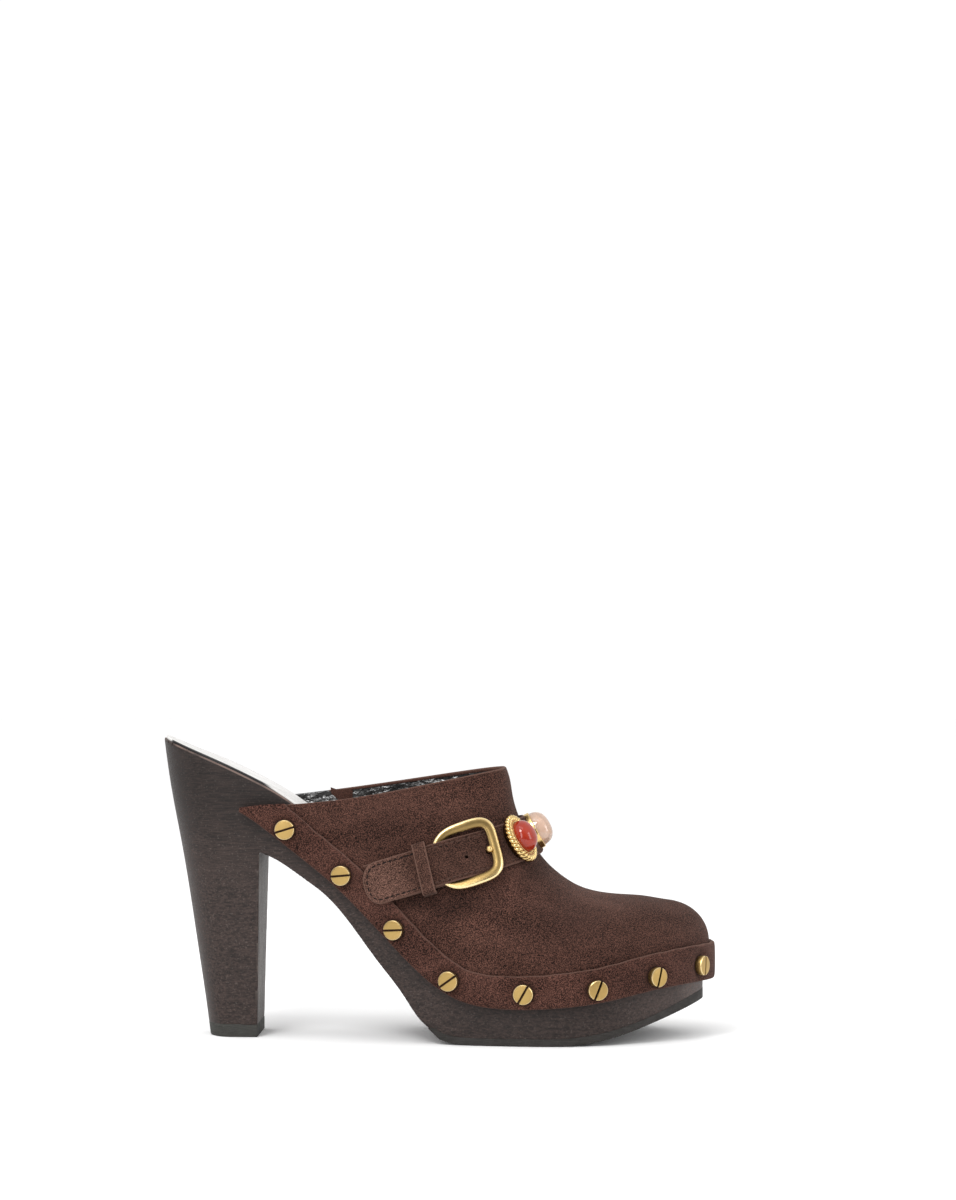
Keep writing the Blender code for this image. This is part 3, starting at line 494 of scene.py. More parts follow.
def upper_mesh():
    """The closed shell of the upper: skin, lip, lining and hem."""
    places = rib_places(SKIN_COLUMNS)
    grid = pull_from_collar(skin_grid(places, SKIN_ROWS), LIP)
    ridge_y = RIB_AT(places)[:, 5]
    flat = grid.reshape(-1, 3)
    side_of = (grid[:, :, 1] - ridge_y[:, None]).ravel()
    normal = grid_normals(grid)
    normal[:, -1] = unit(normal[:, -1] + normal[::-1, -1])
    push = crease_push(flat, side_of).reshape(grid.shape[:2])
    grid = grid + normal * push[:, :, None]
    inner = grid - normal * UPPER_WALL
    count, rows = grid.shape[:2]
    lips = []
    for edge, near in ((0, 1), (count - 1, count - 2)):
        out = unit(grid[edge] - grid[near])
        middle = 0.5 * (grid[edge] + inner[edge])
        half = 0.5 * (grid[edge] - inner[edge])
        arc = []
        for angle in np.linspace(0.0, math.pi, LIP_STEPS)[1:-1]:
            arc.append(middle + half * math.cos(angle) + out * LIP * math.sin(angle))
        lips.append(np.array(arc))
    first_lip, last_lip = lips
    wrap = np.concatenate([grid, last_lip, inner[::-1], first_lip[::-1]])
    columns = len(wrap)
    faces = round_faces(columns, rows)
    lined = len(grid) + len(last_lip) + np.arange(count)
    for i in range(count - 1):
        a, b = i * rows, (i + 1) * rows
        c, d = int(lined[-1] - i) * rows, int(lined[-1] - i - 1) * rows
        faces.append((a, c, d, b))
    inside = np.zeros((columns, rows))
    inside[lined] = 1.0
    lip = np.zeros((columns, rows))
    medial_lip = slice(count, count + len(last_lip))
    lip[medial_lip] = 1.0
    lip[columns - len(first_lip):] = 1.0
    inside[medial_lip][wrap[medial_lip, :, 0] < TAB_FROM] = 1.0
    points = blunt_tips(wrap.reshape(-1, 3))
    return points, faces, {"lining": inside, "lip": lip, "shade": patch_shade(points, UPPER_PATCHES_AND_SHADOWS)}


mesh = mesh_from("suede_upper", *upper_mesh())
upper = dress("suede_upper", mesh, ["upper"], sharp=60.0)

# %% [markdown]
# ## The inside of the upper
# Looking over the near collar, the eye meets a black, rather glossy lining on the far wall and a
# narrow brown facing sewn along the inside of the collar. The number "lining", kept on every
# point of the shell above, tells the material where the lining starts. The facing is a thin strip
# of its own, because its cut edge casts a fine shadow.

# %% Lay the facing
FACING_WIDE = 0.4
FACING_TAB = 5.0
FACING_LIFT = 0.45
FACING_ROWS = 160
TAB_SLANT = 4.5
TAB_EAR = 1.5
EAR_REACH = 2.4


def facing_strip(medial):
    """A narrow strip inside the collar; its rear end is a deep tab with an ear that stands up."""
    places = rib_places(SKIN_COLUMNS)
    grid = pull_from_collar(skin_grid(places, FACING_ROWS), LIP)
    normal = grid_normals(grid)
    edge, near = (len(grid) - 1, len(grid) - 4) if medial else (0, 3)
    first = int(np.argmax(grid[edge, :, 0] > TAB_FROM))
    line, out = grid[edge, first:], normal[edge, first:]
    down = np.cross(out, unit(np.gradient(line, axis=0)))
    toward = grid[near, first:] - line
    down *= np.sign((down * toward).sum(axis=1))[:, None]
    behind = line[:, 0] - TAB_FROM
    tab = FACING_TAB * smooth((TAB_TO - line[:, 0]) / 0.8) * np.clip(behind / TAB_SLANT, 0.1, 1.0)
    ear = medial * TAB_EAR * np.exp(-(behind / EAR_REACH) ** 2)
    rings = []
    for i in range(len(line)):
        wide = FACING_WIDE + tab[i]
        base = line[i] - out[i] * (UPPER_WALL - 0.1)
        lift = -out[i] * FACING_LIFT
        ring = [base - down[i] * (0.1 + ear[i]), base + down[i] * wide]
        ring += [base + down[i] * (wide + 0.1) + lift * 0.6, base + down[i] * (wide - 0.2) + lift]
        ring += [base + down[i] * 0.4 + lift, base - down[i] * (0.25 + ear[i]) + lift * 0.5]
        rings.append(np.array(ring))
    return loft(rings)


points, faces = joined([facing_strip(True), facing_strip(False)])
facing = dress("collar_facing", mesh_from("collar_facing", points, faces))

# %% [markdown]
# ## The rand and its screws
# A rand is the strip that covers the join of upper and sole. Here it is a suede band about 2 mm
# thick, held down by slotted brass screws, so the leather is pinched in round each head. The band
# is a loft of one rounded section along the lower edge. A flat ribbon with a Solidify modifier
# would be quicker, but its edges would stay square and nothing would show the pinching.

# %% Places of the screws
SCREW_COLUMNS = ("edge_x", "up", "slot")
SCREWS = (
    (-60.9, 6.1, 17.0),
    (-37.6, 7.2, 5.0),
    (-16.0, 7.6, 3.0),
    (6.2, 6.1, 35.0),
    (35.7, 6.3, 60.0),
    (64.1, 5.6, 68.0),
    (87.0, 5.4, 75.0),
    (104.6, 6.6, 85.0),
)
GAP = 0.3
RAND_WALL = 2.0
SCREW_FOOT = RAND_WALL + 2.0 * GAP + 0.1


def screw_seats():
    """Name, foot, outward direction and slot angle of every screw, on both sides."""
    toe_places = np.linspace(0.0, TOE_PLACE, 600)
    toe_x = RIB_AT(toe_places)[:, 0]
    seats = []
    for side, name in ((-1, "lateral"), (1, "medial")):
        for number, screw in enumerate(named(SCREW_COLUMNS, SCREWS), 1):
            place = np.interp(screw["edge_x"], toe_x, toe_places)
            place = np.array([place if side < 0 else FULL - place])
            level = np.append(plan_normal(place)[0], 0.0)
            foot = RIB_AT(place)[0, :3] + level * SCREW_FOOT
            foot[2] += screw["up"]
            seats.append(("%s_%d" % (name, number), foot, level, screw["slot"]))
    return seats


SEATS = screw_seats()
print("screws:", len(SEATS))

# %% The rand
RAND_X = (-79.0, 0.0, 40.0, 80.0, 109.0)
RAND_HEIGHT = (12.0, 12.4, 13.6, 14.2, 15.0)
RAND_ROWS = 30
RAND_COLUMNS = 230
PINCH = 0.8
PINCH_FROM = 4.2
PINCH_REACH = 1.9
RAND_PATCHES = (
    (-1, 49.0, 24.0, 11.0, 6.0, 10.0, 0.20),
    (-1, 20.0, 25.0, 9.0, 6.0, -8.0, 0.16),
    (-1, 78.0, 25.0, 12.0, 5.0, 10.0, -0.18),
    (-1, -26.0, 60.0, 12.0, 5.0, -45.0, 0.08),
    (1, 40.0, 24.0, 14.0, 6.0, 8.0, 0.18),
    (1, -20.0, 55.0, 14.0, 6.0, -45.0, -0.14),
)


def rand_height(x):
    """Height of the rand where the lower edge has this x."""
    return np.interp(x, RAND_X, RAND_HEIGHT)


def rand_grid(places):
    """Points of the upper under the rand, from the lower edge to the rand's top edge."""
    columns = []
    for place in places:
        line = rib_line(place)
        length = lengths(line)
        tall = rand_height(RIB_AT(place)[0, 0])
        reach = edge_distance(line)
        first = int(np.argmax(reach >= tall))
        share = (tall - reach[first - 1]) / (reach[first] - reach[first - 1])
        top = length[first - 1] + share * (length[first] - length[first - 1])
        columns.append(walk(line, np.linspace(0.0, top, RAND_ROWS)))
    return np.array(columns)


def rand_section(tall):
    """Rounded section of the band: height on the band and distance from the upper."""
    low = [(0.25, 0.30), (0.02, 0.75), (0.0, 1.35), (0.18, 1.85), (0.55, 2.15), (1.2, 2.30)]
    high = [(tall - up, out) for up, out in reversed(low)]
    shares = np.linspace(0.16, 0.84, 15)
    face = [(tall * share, 2.36 + 0.12 * math.sin(math.pi * share)) for share in shares]
    return low + face + high


def rand_mesh():
    """The band as one closed loft, pinched in at the screws."""
    places = rib_places(RAND_COLUMNS)
    grid = rand_grid(places)
    normal = grid_normals(grid)
    feet = np.array([seat[1] for seat in SEATS])
    wander = 0.12 * np.sin(places * 0.61) + 0.10 * np.sin(places * 0.233 + 1.0)
    rings, heights, gaps = [], [], []
    numbers = np.arange(RAND_ROWS)
    for i in range(len(places)):
        tall = float(rand_height(grid[i, 0, 0]))
        ring = []
        for up, out in rand_section(tall):
            row = np.clip((up + wander[i] * up / tall) / tall, -0.02, 1.03) * (RAND_ROWS - 1)
            base = np.array([np.interp(row, numbers, grid[i, :, k]) for k in range(3)])
            away = unit(np.array([np.interp(row, numbers, normal[i, :, k]) for k in range(3)]))
            point = base + away * out
            gap = np.linalg.norm(feet - point, axis=1).min()
            pinch = PINCH * math.exp(-(max(gap - PINCH_FROM, 0.0) / PINCH_REACH) ** 2)
            ring.append(point - away * pinch * ramp(out, 0.4, 2.0))
            heights.append(up / tall)
            gaps.append(gap)
        rings.append(blunt_tips(np.array(ring)))
    shade = patch_shade(np.concatenate(rings), RAND_PATCHES)
    return (*loft(rings), {"band": heights, "screw_gap": gaps, "shade": shade})


mesh = mesh_from("suede_rand", *rand_mesh())
rand = dress("suede_rand", mesh, ["rand_band"], sharp=60.0)

# %% [markdown]
# ## Slotted brass screws
# Each screw head is a low disc with a turned rim and a saw-cut slot. One master head is cut with
# a Boolean and softened with a Bevel modifier, then sixteen copies are set square to the band,
# each with its own turn of the slot, as a hand-fitted screw would have.

# %% One screw head
SCREW_RADIUS = 4.0
SCREW_HEIGHT = 2.0
SCREW_SUNK = 1.1
SLOT_WIDTH = 0.9
SLOT_LENGTH = 12.0
SLOT_DEPTH = 1.1
RIM_FROM = 3.6
SCREW_SIDES = 48
SCREW_PROFILE = (
    (1.6, SCREW_HEIGHT + 0.05), (3.0, SCREW_HEIGHT), (3.62, SCREW_HEIGHT - 0.06), (3.9, SCREW_HEIGHT - 0.3),
    (SCREW_RADIUS, SCREW_HEIGHT - 0.6), (SCREW_RADIUS, 0.0), (3.7, -SCREW_SUNK),
)


def made_mesh(work, name):
    """A new mesh from a finished bmesh."""
    mesh = bpy.data.meshes.new(name)
    work.to_mesh(mesh)
    work.free()
    return mesh


def cut(item, operation, tool):
    """Give an object an exact Boolean with a tool."""
    made = item.modifiers.new("cut", "BOOLEAN")
    made.operation, made.solver, made.object = operation, "EXACT", tool


def soften(item, width, segments, angle):
    """Give an object a bevel on its sharp edges."""
    made = item.modifiers.new("soft_edges", "BEVEL")
    made.width, made.segments, made.limit_method = width * MM, segments, "ANGLE"
    made.angle_limit = math.radians(angle)


def screw_head():
    """A slotted head lying in the level plane, its foot at z = 0, in metres."""
    work = bmesh.new()
    rings = []
    for radius, height in SCREW_PROFILE:
        ring = []
        for k in range(SCREW_SIDES):
            a = 2.0 * math.pi * k / SCREW_SIDES
            ring.append(work.verts.new((radius * math.cos(a) * MM, radius * math.sin(a) * MM, height * MM)))
        rings.append(ring)
    for low, high in zip(rings[1:], rings[:-1]):
        for k in range(SCREW_SIDES):
            m = (k + 1) % SCREW_SIDES
            work.faces.new((low[k], low[m], high[m], high[k]))
    work.faces.new(rings[0])
    work.faces.new(rings[-1][::-1])
    head = put("screw_head", made_mesh(work, "screw_head"))
    work = bmesh.new()
    size = Matrix.Diagonal((SLOT_LENGTH * MM, SLOT_WIDTH * MM, 2.0 * SLOT_DEPTH * MM, 1.0))
    bmesh.ops.create_cube(work, size=1.0, matrix=Matrix.Translation((0.0, 0.0, SCREW_HEIGHT * MM)) @ size)
    saw = put("saw_cut", made_mesh(work, "saw_cut"))
    cut(head, "DIFFERENCE", saw)
    soften(head, 0.17, 2, 38.0)
    finished = finished_mesh(head, "screw_head")
    bpy.data.objects.remove(saw, do_unlink=True)
    return finished


# %% Sixteen screws
def seat_matrix(foot, level, turn):
    """Matrix that stands a part at a foot point, facing outward, turned about its axis."""
    side_axis = np.cross((0.0, 0.0, 1.0), level)
    axes = Matrix((side_axis, (0.0, 0.0, 1.0), level)).transposed().to_4x4()
    spin = Matrix.Rotation(math.radians(turn), 4, "Z")
    return Matrix.Translation(Vector(to_metres(foot)[0])) @ axes @ spin


head = screw_head()
places = np.zeros(len(head.vertices) * 3)
head.vertices.foreach_get("co", places)
places = places.reshape(-1, 3) / MM
# The slot of each head is painted dark: painted shade of the slot with some grime.
in_slot = np.abs(places[:, 1]) < 0.5 * SLOT_WIDTH + 0.02
store(head, "grime", in_slot * smooth((SCREW_HEIGHT - 0.1 - places[:, 2]) / 0.5) * (places[:, 2] > 0.3))
# The turned rim of each head is painted bright: wear and a painted highlight.
outer = smooth((np.hypot(places[:, 0], places[:, 1]) - RIM_FROM) / 0.2)
store(head, "rim", outer * (places[:, 2] > SCREW_HEIGHT - 0.45))
screws = []
for name, foot, level, turn in SEATS:
    mesh = head.copy()
    mesh.transform(seat_matrix(foot, level, turn))
    screws.append(dress("brass_screw_" + name, mesh, ["screw_" + name], sharp=30.0))
bpy.data.meshes.remove(head)

# %% [markdown]
# ## The carved wooden sole
# Heel, arch and platform are carved from one block and sanded, so every edge is a little round.
# The block is made the way a bandsaw would: the plan of the sole is lofted upward, then the side
# view is cut out of it with a Boolean. A Remesh that keeps sharp edges gives small even faces, a
# Shrinkwrap draws them onto the sawn block, and a few smoothing passes sand the edges.
# Bevelling the cut edges is the other way, but a bevel breaks where two curved cuts meet. Five numbers kept
# on its points tell the stain where rim, breast, toe and seat are and how dark it is; that last number also
# carries a painted shadow under the rand and a painted highlight on the front of the toe.

# %% Tables of the sole
FOOTBED = (
    (-125.0, 126.2), (-113.0, 121.4), (-102.0, 117.0), (-91.0, 112.5), (-75.0, 105.0),
    (-60.0, 96.5), (-48.0, 86.5), (-36.0, 74.0), (-24.0, 62.0), (-12.0, 49.5), (0.0, 38.0),
    (10.0, 31.0), (20.0, 27.8), (30.0, 26.6), (45.0, 26.4), (60.0, 27.4), (75.0, 30.0),
    (90.0, 33.5), (105.0, 36.5), (120.0, 38.5),
)
ARCH = (
    (-72.2, 76.0), (-63.0, 71.7), (-54.7, 66.0), (-43.7, 57.6), (-34.7, 47.3),
    (-23.7, 32.7), (-12.7, 18.6), (-6.5, 9.8), (-2.6, 6.4),
)
TREAD = (
    (-1.2, 3.6), (1.4, 2.0), (4.5, 0.9), (9.0, 0.25), (14.0, 0.0), (34.0, 0.0), (46.0, 0.0),
    (51.0, 0.15), (56.0, 0.55), (61.5, 1.25), (67.0, 2.2), (72.0, 3.35), (77.0, 4.75), (82.0, 6.35),
    (87.0, 8.1), (92.0, 9.8), (98.0, 11.8), (104.0, 13.7), (120.0, 18.8),
)
HEEL = (
    (-6.0, -93.3, 15.2, 11.0),
    (10.0, -95.4, 16.0, 12.0),
    (34.5, -99.0, 18.0, 14.5),
    (59.0, -102.7, 20.9, 19.0),
    (80.0, -106.3, 23.5, 23.5),
    (100.0, -110.1, 24.9, 26.0),
    (130.0, -114.2, 24.9, 28.5),
)
BREAST_BOTTOM_X = -73.5
SOLE_INSET = 2.6
OUTSOLE_THICK = 3.0
LIFT_THICK = 5.5
SEAT_HALF = HEEL[-1][2]
HEEL_POWER = 0.9
SOLE_ENDS = (-124.0, 119.0)
SOLE_HALF = 70.0
print("tables of the sole:", len(FOOTBED), len(ARCH), len(TREAD), len(HEEL), "rows")

# %% Curves of the sole
footbed_curve = natural_spline(np.array(FOOTBED)[:, 0], np.array(FOOTBED)[:, 1])
heel_curve = natural_spline(np.array(HEEL)[:, 0], np.array(HEEL)[:, 1:])


def footbed_z(x):
    """Height of the top of the wood."""
    return footbed_curve(x)[:, 0]


def tread_z(x):
    """Height of the bottom of the forefoot."""
    table = np.array(TREAD)
    return np.interp(x, table[:, 0], table[:, 1])


def heel_back(z, count, inset=0.0):
    """Half plan of the heel's rounded back at a height, from the rear centre outward."""
    back, half, rounding = heel_curve(z)[0]
    turn = np.linspace(0.0, 0.5 * math.pi, count)
    x = back + inset + rounding * (1.0 - np.cos(turn) ** HEEL_POWER)
    return np.stack([x, (half - inset) * np.sin(turn) ** HEEL_POWER], axis=1)


def plan_outline(z, inset=0.0, back_count=26, side_count=110):
    """Plan of the wood at a height: rear centre, lateral side, toe, medial side."""
    rear = heel_back(z, back_count, inset)
    places = rib_places(side_count)
    edge = RIB_AT(places)[:, :2] - (SOLE_INSET + inset) * plan_normal(places)
    ratio = rear[-1, 1] / (SEAT_HALF - inset)
    edge[:, 1] *= ratio + (1.0 - ratio) * ramp(edge[:, 0], -73.0, -60.0)
    return np.concatenate([rear * (1.0, -1.0), edge, rear[:0:-1]])


# %% Saw and sand the block
OCTREE_DEPTH = 8
OCTREE_SCALE = 0.93
SAND_PASSES = 3
RIM_SPARE = 0.35
SEAT_SPARE = 0.6


def side_view():
    """Outline of the sole in side view."""
    top_x = np.linspace(*SOLE_ENDS, 110)
    top = np.stack([top_x, footbed_z(top_x) + RIM_SPARE], axis=1)
    arch = np.array(ARCH)
    arch_x = np.linspace(arch[0, 0], arch[-1, 0], 50)
    under = np.stack([arch_x, natural_spline(arch[:, 0], arch[:, 1])(arch_x)[:, 0]], axis=1)
    tread = np.array(TREAD)[1:]
    tread_x = np.linspace(tread[0, 0], tread[-1, 0], 90)
    sheet = OUTSOLE_THICK - SEAT_SPARE
    front = np.stack([tread_x, np.interp(tread_x, tread[:, 0], tread[:, 1]) + sheet], axis=1)
    floor = LIFT_THICK - SEAT_SPARE
    return np.concatenate([[(SOLE_ENDS[0], floor), (BREAST_BOTTOM_X, floor)], under, front, top[::-1]])


def carved_sole():
    """The sole as one sanded mesh."""
    rings = []
    for z in np.linspace(HEEL[0][0], HEEL[-1][0], 40):
        plan = plan_outline(z)
        rings.append(np.column_stack([plan, np.full(len(plan), z)]))
    block = put("block", mesh_from("block", *loft(rings)))
    view = side_view()
    slab = []
    for y in (-SOLE_HALF, SOLE_HALF):
        slab.append(np.column_stack([view[:, 0], np.full(len(view), y), view[:, 1]]))
    saw = put("saw", mesh_from("saw", *loft(slab)))
    cut(block, "INTERSECT", saw)
    exact = put("exact", finished_mesh(block, "exact"))
    carving = put("carving", exact.data.copy())
    fine = carving.modifiers.new("fine", "REMESH")
    fine.mode, fine.octree_depth, fine.scale = "SHARP", OCTREE_DEPTH, OCTREE_SCALE
    trued = carving.modifiers.new("trued", "SHRINKWRAP")
    trued.target = exact
    sanded = carving.modifiers.new("sanded", "SMOOTH")
    sanded.factor, sanded.iterations = 0.5, SAND_PASSES
    mesh = finished_mesh(carving, "carved_sole")
    for item in (saw, exact):
        bpy.data.objects.remove(item, do_unlink=True)
    return mesh


# %% Finish the carved sole
MEDIAL_FALL = 1.7
WOOD_PATCHES_AND_LIGHT = (
    (-1, -2.0, 15.0, 12.0, 8.0, -50.0, 0.20),
    (-1, 84.0, 15.0, 14.0, 5.0, 16.0, 0.16),
    # painted shadow under the rand
    (-1, 38.0, 17.0, 26.0, 3.5, 0.0, -0.20),
    # painted highlight on the front of the toe
    (-1, 104.0, 22.0, 4.5, 8.0, 0.0, 0.7),
)


def medial_fall(x, y):
    """How much lower the seat of the heel lies on its far, medial side."""
    along = ramp(x, -38.0, -60.0) * ramp(x, -118.0, -100.0)
    return MEDIAL_FALL * ramp(y, -8.0, 18.0) * along


mesh = carved_sole()
found = mesh_points(mesh)
fall = medial_fall(found[:, 0], found[:, 1])
found[:, 2] -= fall * ramp(found[:, 2] - footbed_z(found[:, 0]), -16.0, -2.0)
mesh.vertices.foreach_set("co", to_metres(found).ravel())
mesh.update()
facing_toe = np.zeros(len(mesh.vertices) * 3)
mesh.vertices.foreach_get("normal", facing_toe)
facing_toe = facing_toe.reshape(-1, 3)[:, 0]
along, height = found[:, 0], found[:, 2]
# The faces of the heel's breast that turn to the toe are painted paler, with upright streaks.
breast = ramp(facing_toe, 0.55, 0.85) * ramp(along, -62.0, -70.0)
# The stain number darkens towards the top of the heel and towards the forefoot and lightens towards the
# toe; the patches add a painted shadow under the rand and a painted highlight on the toe's front.
stain_and_painted_light = 1.0 - 0.45 * ramp(height, 66.0, 100.0) - 0.18 * ramp(along, -40.0, 10.0)
stain_and_painted_light += 0.25 * ramp(along, 72.0, 102.0) + patch_shade(found, WOOD_PATCHES_AND_LIGHT)
store(mesh, "below_rim", footbed_z(along) - fall - height)
store(mesh, "breast", breast * (0.3 + 0.7 * ramp(height, 9.0, 21.0)))
store(mesh, "stain_and_painted_light", stain_and_painted_light)
store(mesh, "toe", ramp(along, 68.0, 98.0))
store(mesh, "seat", ramp(height, 58.0, 82.0))
sole = dress("carved_sole", mesh, ["wood_sole"], sharp=180.0)

# %% [markdown]
# ## Rubber under the sole
# A thin rubber sheet is glued under the forefoot and a thick lift under the heel. Both are sawn
# from flat stock and buffed to the wood, so they follow its plan with a slightly round edge. They
# are lofts with a Bevel modifier worked into the mesh.

# %% Outsole and heel lift
def softened(name, points, faces, width, marks=None):
    """A closed mesh whose sharp edges are rounded."""
    item = put(name, mesh_from(name, points, faces, marks))
    soften(item, width, 3, 40.0)
    return finished_mesh(item, name)


def side_at(outline, x):
    """Lateral and medial y of a plan outline at places along the shoe."""
    toe = int(np.argmax(outline[:, 0]))
    lateral = outline[:toe + 1]
    medial = np.concatenate([outline[toe:], outline[:1]])[::-1]
    return np.interp(x, lateral[:, 0], lateral[:, 1]), np.interp(x, medial[:, 0], medial[:, 1])


def eased(start, stop, count):
    """Places that crowd towards both ends."""
    share = 0.5 - 0.5 * np.cos(np.linspace(0.0, math.pi, count))
    return start + (stop - start) * share


OUTSOLE_REAR = ((-2.9, 6.25), (-0.93, 4.4), (0.4, 3.1), (1.78, 2.1), (3.4, 1.45), (5.4, 0.9), (9.0, 0.25))
OUTSOLE_TOE = 96.0
OUTSOLE_THIN = 0.9


def outsole_sheet():
    """The rubber sheet under the wood; it thins out at the rear and thickens at the toe."""
    outline = plan_outline(0.0, -0.1)
    rear = np.array(OUTSOLE_REAR)
    back = np.linspace(rear[0, 0], rear[-1, 0], 24)
    run = np.linspace(back[-1], OUTSOLE_TOE, 80)[1:]
    x = np.concatenate([back, run, eased(OUTSOLE_TOE, outline[:, 0].max() - 0.1, 30)[1:]])
    lateral, medial = side_at(outline, x)
    low = np.where(x < rear[-1, 0], np.interp(x, rear[:, 0], rear[:, 1]), tread_z(x))
    high = low + OUTSOLE_THIN + (OUTSOLE_THICK - OUTSOLE_THIN) * ramp(x - x[0], 0.0, 3.5)
    high += ramp(x, 84.0, 106.0)
    rings = []
    for i in range(len(x)):
        low_pair = [(x[i], lateral[i], low[i]), (x[i], medial[i], low[i])]
        rings.append(np.array(low_pair + [(x[i], medial[i], high[i]), (x[i], lateral[i], high[i])]))
    return loft(rings)


def heel_lift():
    """The rubber lift, a slice of the heel's plan."""
    rings = []
    for z in (0.0, LIFT_THICK):
        side = heel_back(z, 20)
        side = np.concatenate([side, [(BREAST_BOTTOM_X, side[-1, 1])]])
        plan = np.concatenate([side * (1.0, -1.0), side[:0:-1]])
        rings.append(np.column_stack([plan, np.full(len(plan), z)]))
    return loft(rings)


mesh = softened("rubber_outsole", *outsole_sheet(), 0.35)
outsole = dress("rubber_outsole", mesh, ["outsole"], sharp=30.0)
mesh = softened("rubber_heel_lift", *heel_lift(), 0.45)
lift = dress("rubber_heel_lift", mesh, ["heel_top_lift"], sharp=30.0)

# %% [markdown]
# ## The insole
# A pale leather sock lies on the footbed, set in a little from the rim of the wood at the heel.
# Its section is a flat strip with soft edges and a faint hollow where the heel of the foot rests.
# The cut edge round the heel and the underside are coloured black; the number "wall" marks their points.

# %% Pale leather sock
INSOLE_THICK = 1.1
INSOLE_WALL = 0.55
WALL_TOP = (0.5, 1.9)
INSOLE_INSET_REAR = 1.4
INSOLE_INSET_FRONT = 2.6
INSOLE_HOLLOW = 0.5


def insole_sock():
    """The sock as a loft of soft-edged strips along the footbed."""
    outline = plan_outline(125.0, INSOLE_INSET_REAR, 60)
    x = eased(outline[:, 0].min() + 0.01, outline[:, 0].max() - 2.0, 170)
    lateral, medial = side_at(outline, x)
    inset = np.interp(x, (-85.0, -60.0), (0.0, INSOLE_INSET_FRONT - INSOLE_INSET_REAR))
    tight = np.minimum(inset, 0.4 * (medial - lateral))
    left, right = lateral + tight, medial - tight
    low = footbed_z(x) + GAP
    share = np.sin(0.5 * math.pi * np.linspace(-1.0, 1.0, 41))
    rings, wall = [], []
    for i in range(len(x)):
        half, middle = 0.5 * (right[i] - left[i]), 0.5 * (right[i] + left[i])
        edge = np.maximum(half * (1.0 - np.abs(share)), 0.0)
        round_off = np.sqrt(1.0 - (1.0 - np.clip(edge / 0.9, 0.0, 1.0)) ** 2)
        fall = medial_fall(x[i], middle + half * share)
        hollow = INSOLE_HOLLOW * ramp(edge, 1.0, 11.0) * ramp(x[i], -40.0, -70.0)
        top = low[i] + INSOLE_WALL + (INSOLE_THICK - INSOLE_WALL) * round_off - hollow - fall
        y = middle + half * share
        upper_row = np.column_stack([np.full(len(y), x[i]), y, top])
        lower_row = np.column_stack([np.full(len(y), x[i]), y, low[i] - 0.4 - fall])
        rings.append(np.concatenate([lower_row, upper_row[::-1]]))
        black_edge = 1.0 - ramp(edge, *WALL_TOP)
        black_edge *= ramp(x[i] - x[0], 2.0, 5.0) * (1.0 - ramp(x[i], -76.0, -60.0))
        wall.append(np.concatenate([np.ones(len(y)), black_edge[::-1]]))
    return (*loft(rings), {"wall": np.array(wall)})


mesh = mesh_from("leather_insole", *insole_sock())
sock = dress("leather_insole", mesh, ["insole"], sharp=50.0)

# %% [markdown]
# ## Where the strap runs
# The instep strap crosses the shoe on a slope, over the ridge and down to the rand on both sides.
# Its path is worked out in side view: a slanted line is dropped onto the lateral skin, carried
# over the ridge and brought down the medial skin. That gives a field of points on the upper, with
# places along and across the strap, and every strap, buckle and stone is set on that field.

# %% Strap field on the upper
STRAP_CENTRE = (12.7, 74.5)
STRAP_SLOPE = 16.2
FIELD_BACK = 66.0
FIELD_ACROSS = np.linspace(-18.0, 18.0, 25)
FIELD_PLACES = np.linspace(-60.0, 140.0, 241)
FIELD_PASSES = 6


def skin_points(xz, side):
    """Points of the upper with this side view, on the lateral (-1) or medial (1) side."""
    places = np.linspace(0.0, TOE_PLACE, 500)
    ribs = RIB_AT(places if side < 0 else FULL - places)
    base = np.stack([ribs[:, 0], ribs[:, 2] + ribs[:, 3]], axis=1)
    run = ribs[:, [4, 6]] - base
    found = []
    for x, z in xz:
        side_y = np.interp(x, ribs[:, 0], ribs[:, 1])
        if z <= np.interp(x, ribs[:, 0], base[:, 1]):
            found.append((x, side_y, z))
            continue
        turn = (x - base[:, 0]) * run[:, 1] - (z - base[:, 1]) * run[:, 0]
        i = int(np.argmax((turn[:-1] * turn[1:] <= 0.0) & (base[:-1, 0] < x + 1.0)))
        share = turn[i] / (turn[i] - turn[i + 1])
        rib = ribs[i] + share * (ribs[i + 1] - ribs[i])
        start = base[i] + share * (base[i + 1] - base[i])
        step = run[i] + share * (run[i + 1] - run[i])
        rise = ((x - start[0]) * step[0] + (z - start[1]) * step[1]) / (step @ step)
        rise = min(max(rise, 0.0), 1.0)
        stay = (1.0 - rise ** rib[7]) ** (1.0 / rib[7])
        y = rib[5] + (rib[1] - rib[5]) * stay + side * rib[9] * 4.0 * rise * (1.0 - rise)
        found.append((x, y, z))
    return np.array(found)


def strap_field():
    """Surface of the upper under the strap, as a grid of [place along][place across]."""
    slope = math.radians(STRAP_SLOPE)
    ahead = np.array([math.cos(slope), math.sin(slope)])
    across = np.array([-math.sin(slope), math.cos(slope)])
    ridge = RIB_AT(np.linspace(0.0, TOE_PLACE, 500))[:, [4, 6]] - np.array(STRAP_CENTRE)
    order = np.argsort(ridge @ across)
    lines = []
    for side_step in FIELD_ACROSS:
        end = np.interp(side_step, (ridge @ across)[order], (ridge @ ahead)[order])
        along = -FIELD_BACK + (end + FIELD_BACK) * np.sin(np.linspace(0.0, 0.5 * math.pi, 160))
        xz = np.array(STRAP_CENTRE) + along[:, None] * ahead + side_step * across
        lateral, medial = skin_points(xz, -1), skin_points(xz, 1)
        line = np.concatenate([lateral, medial[-2::-1]])
        start = np.interp(0.0, along, lengths(line)[:len(along)])
        lines.append(walk(line, start + FIELD_PLACES))
    return np.stack(lines, axis=1)


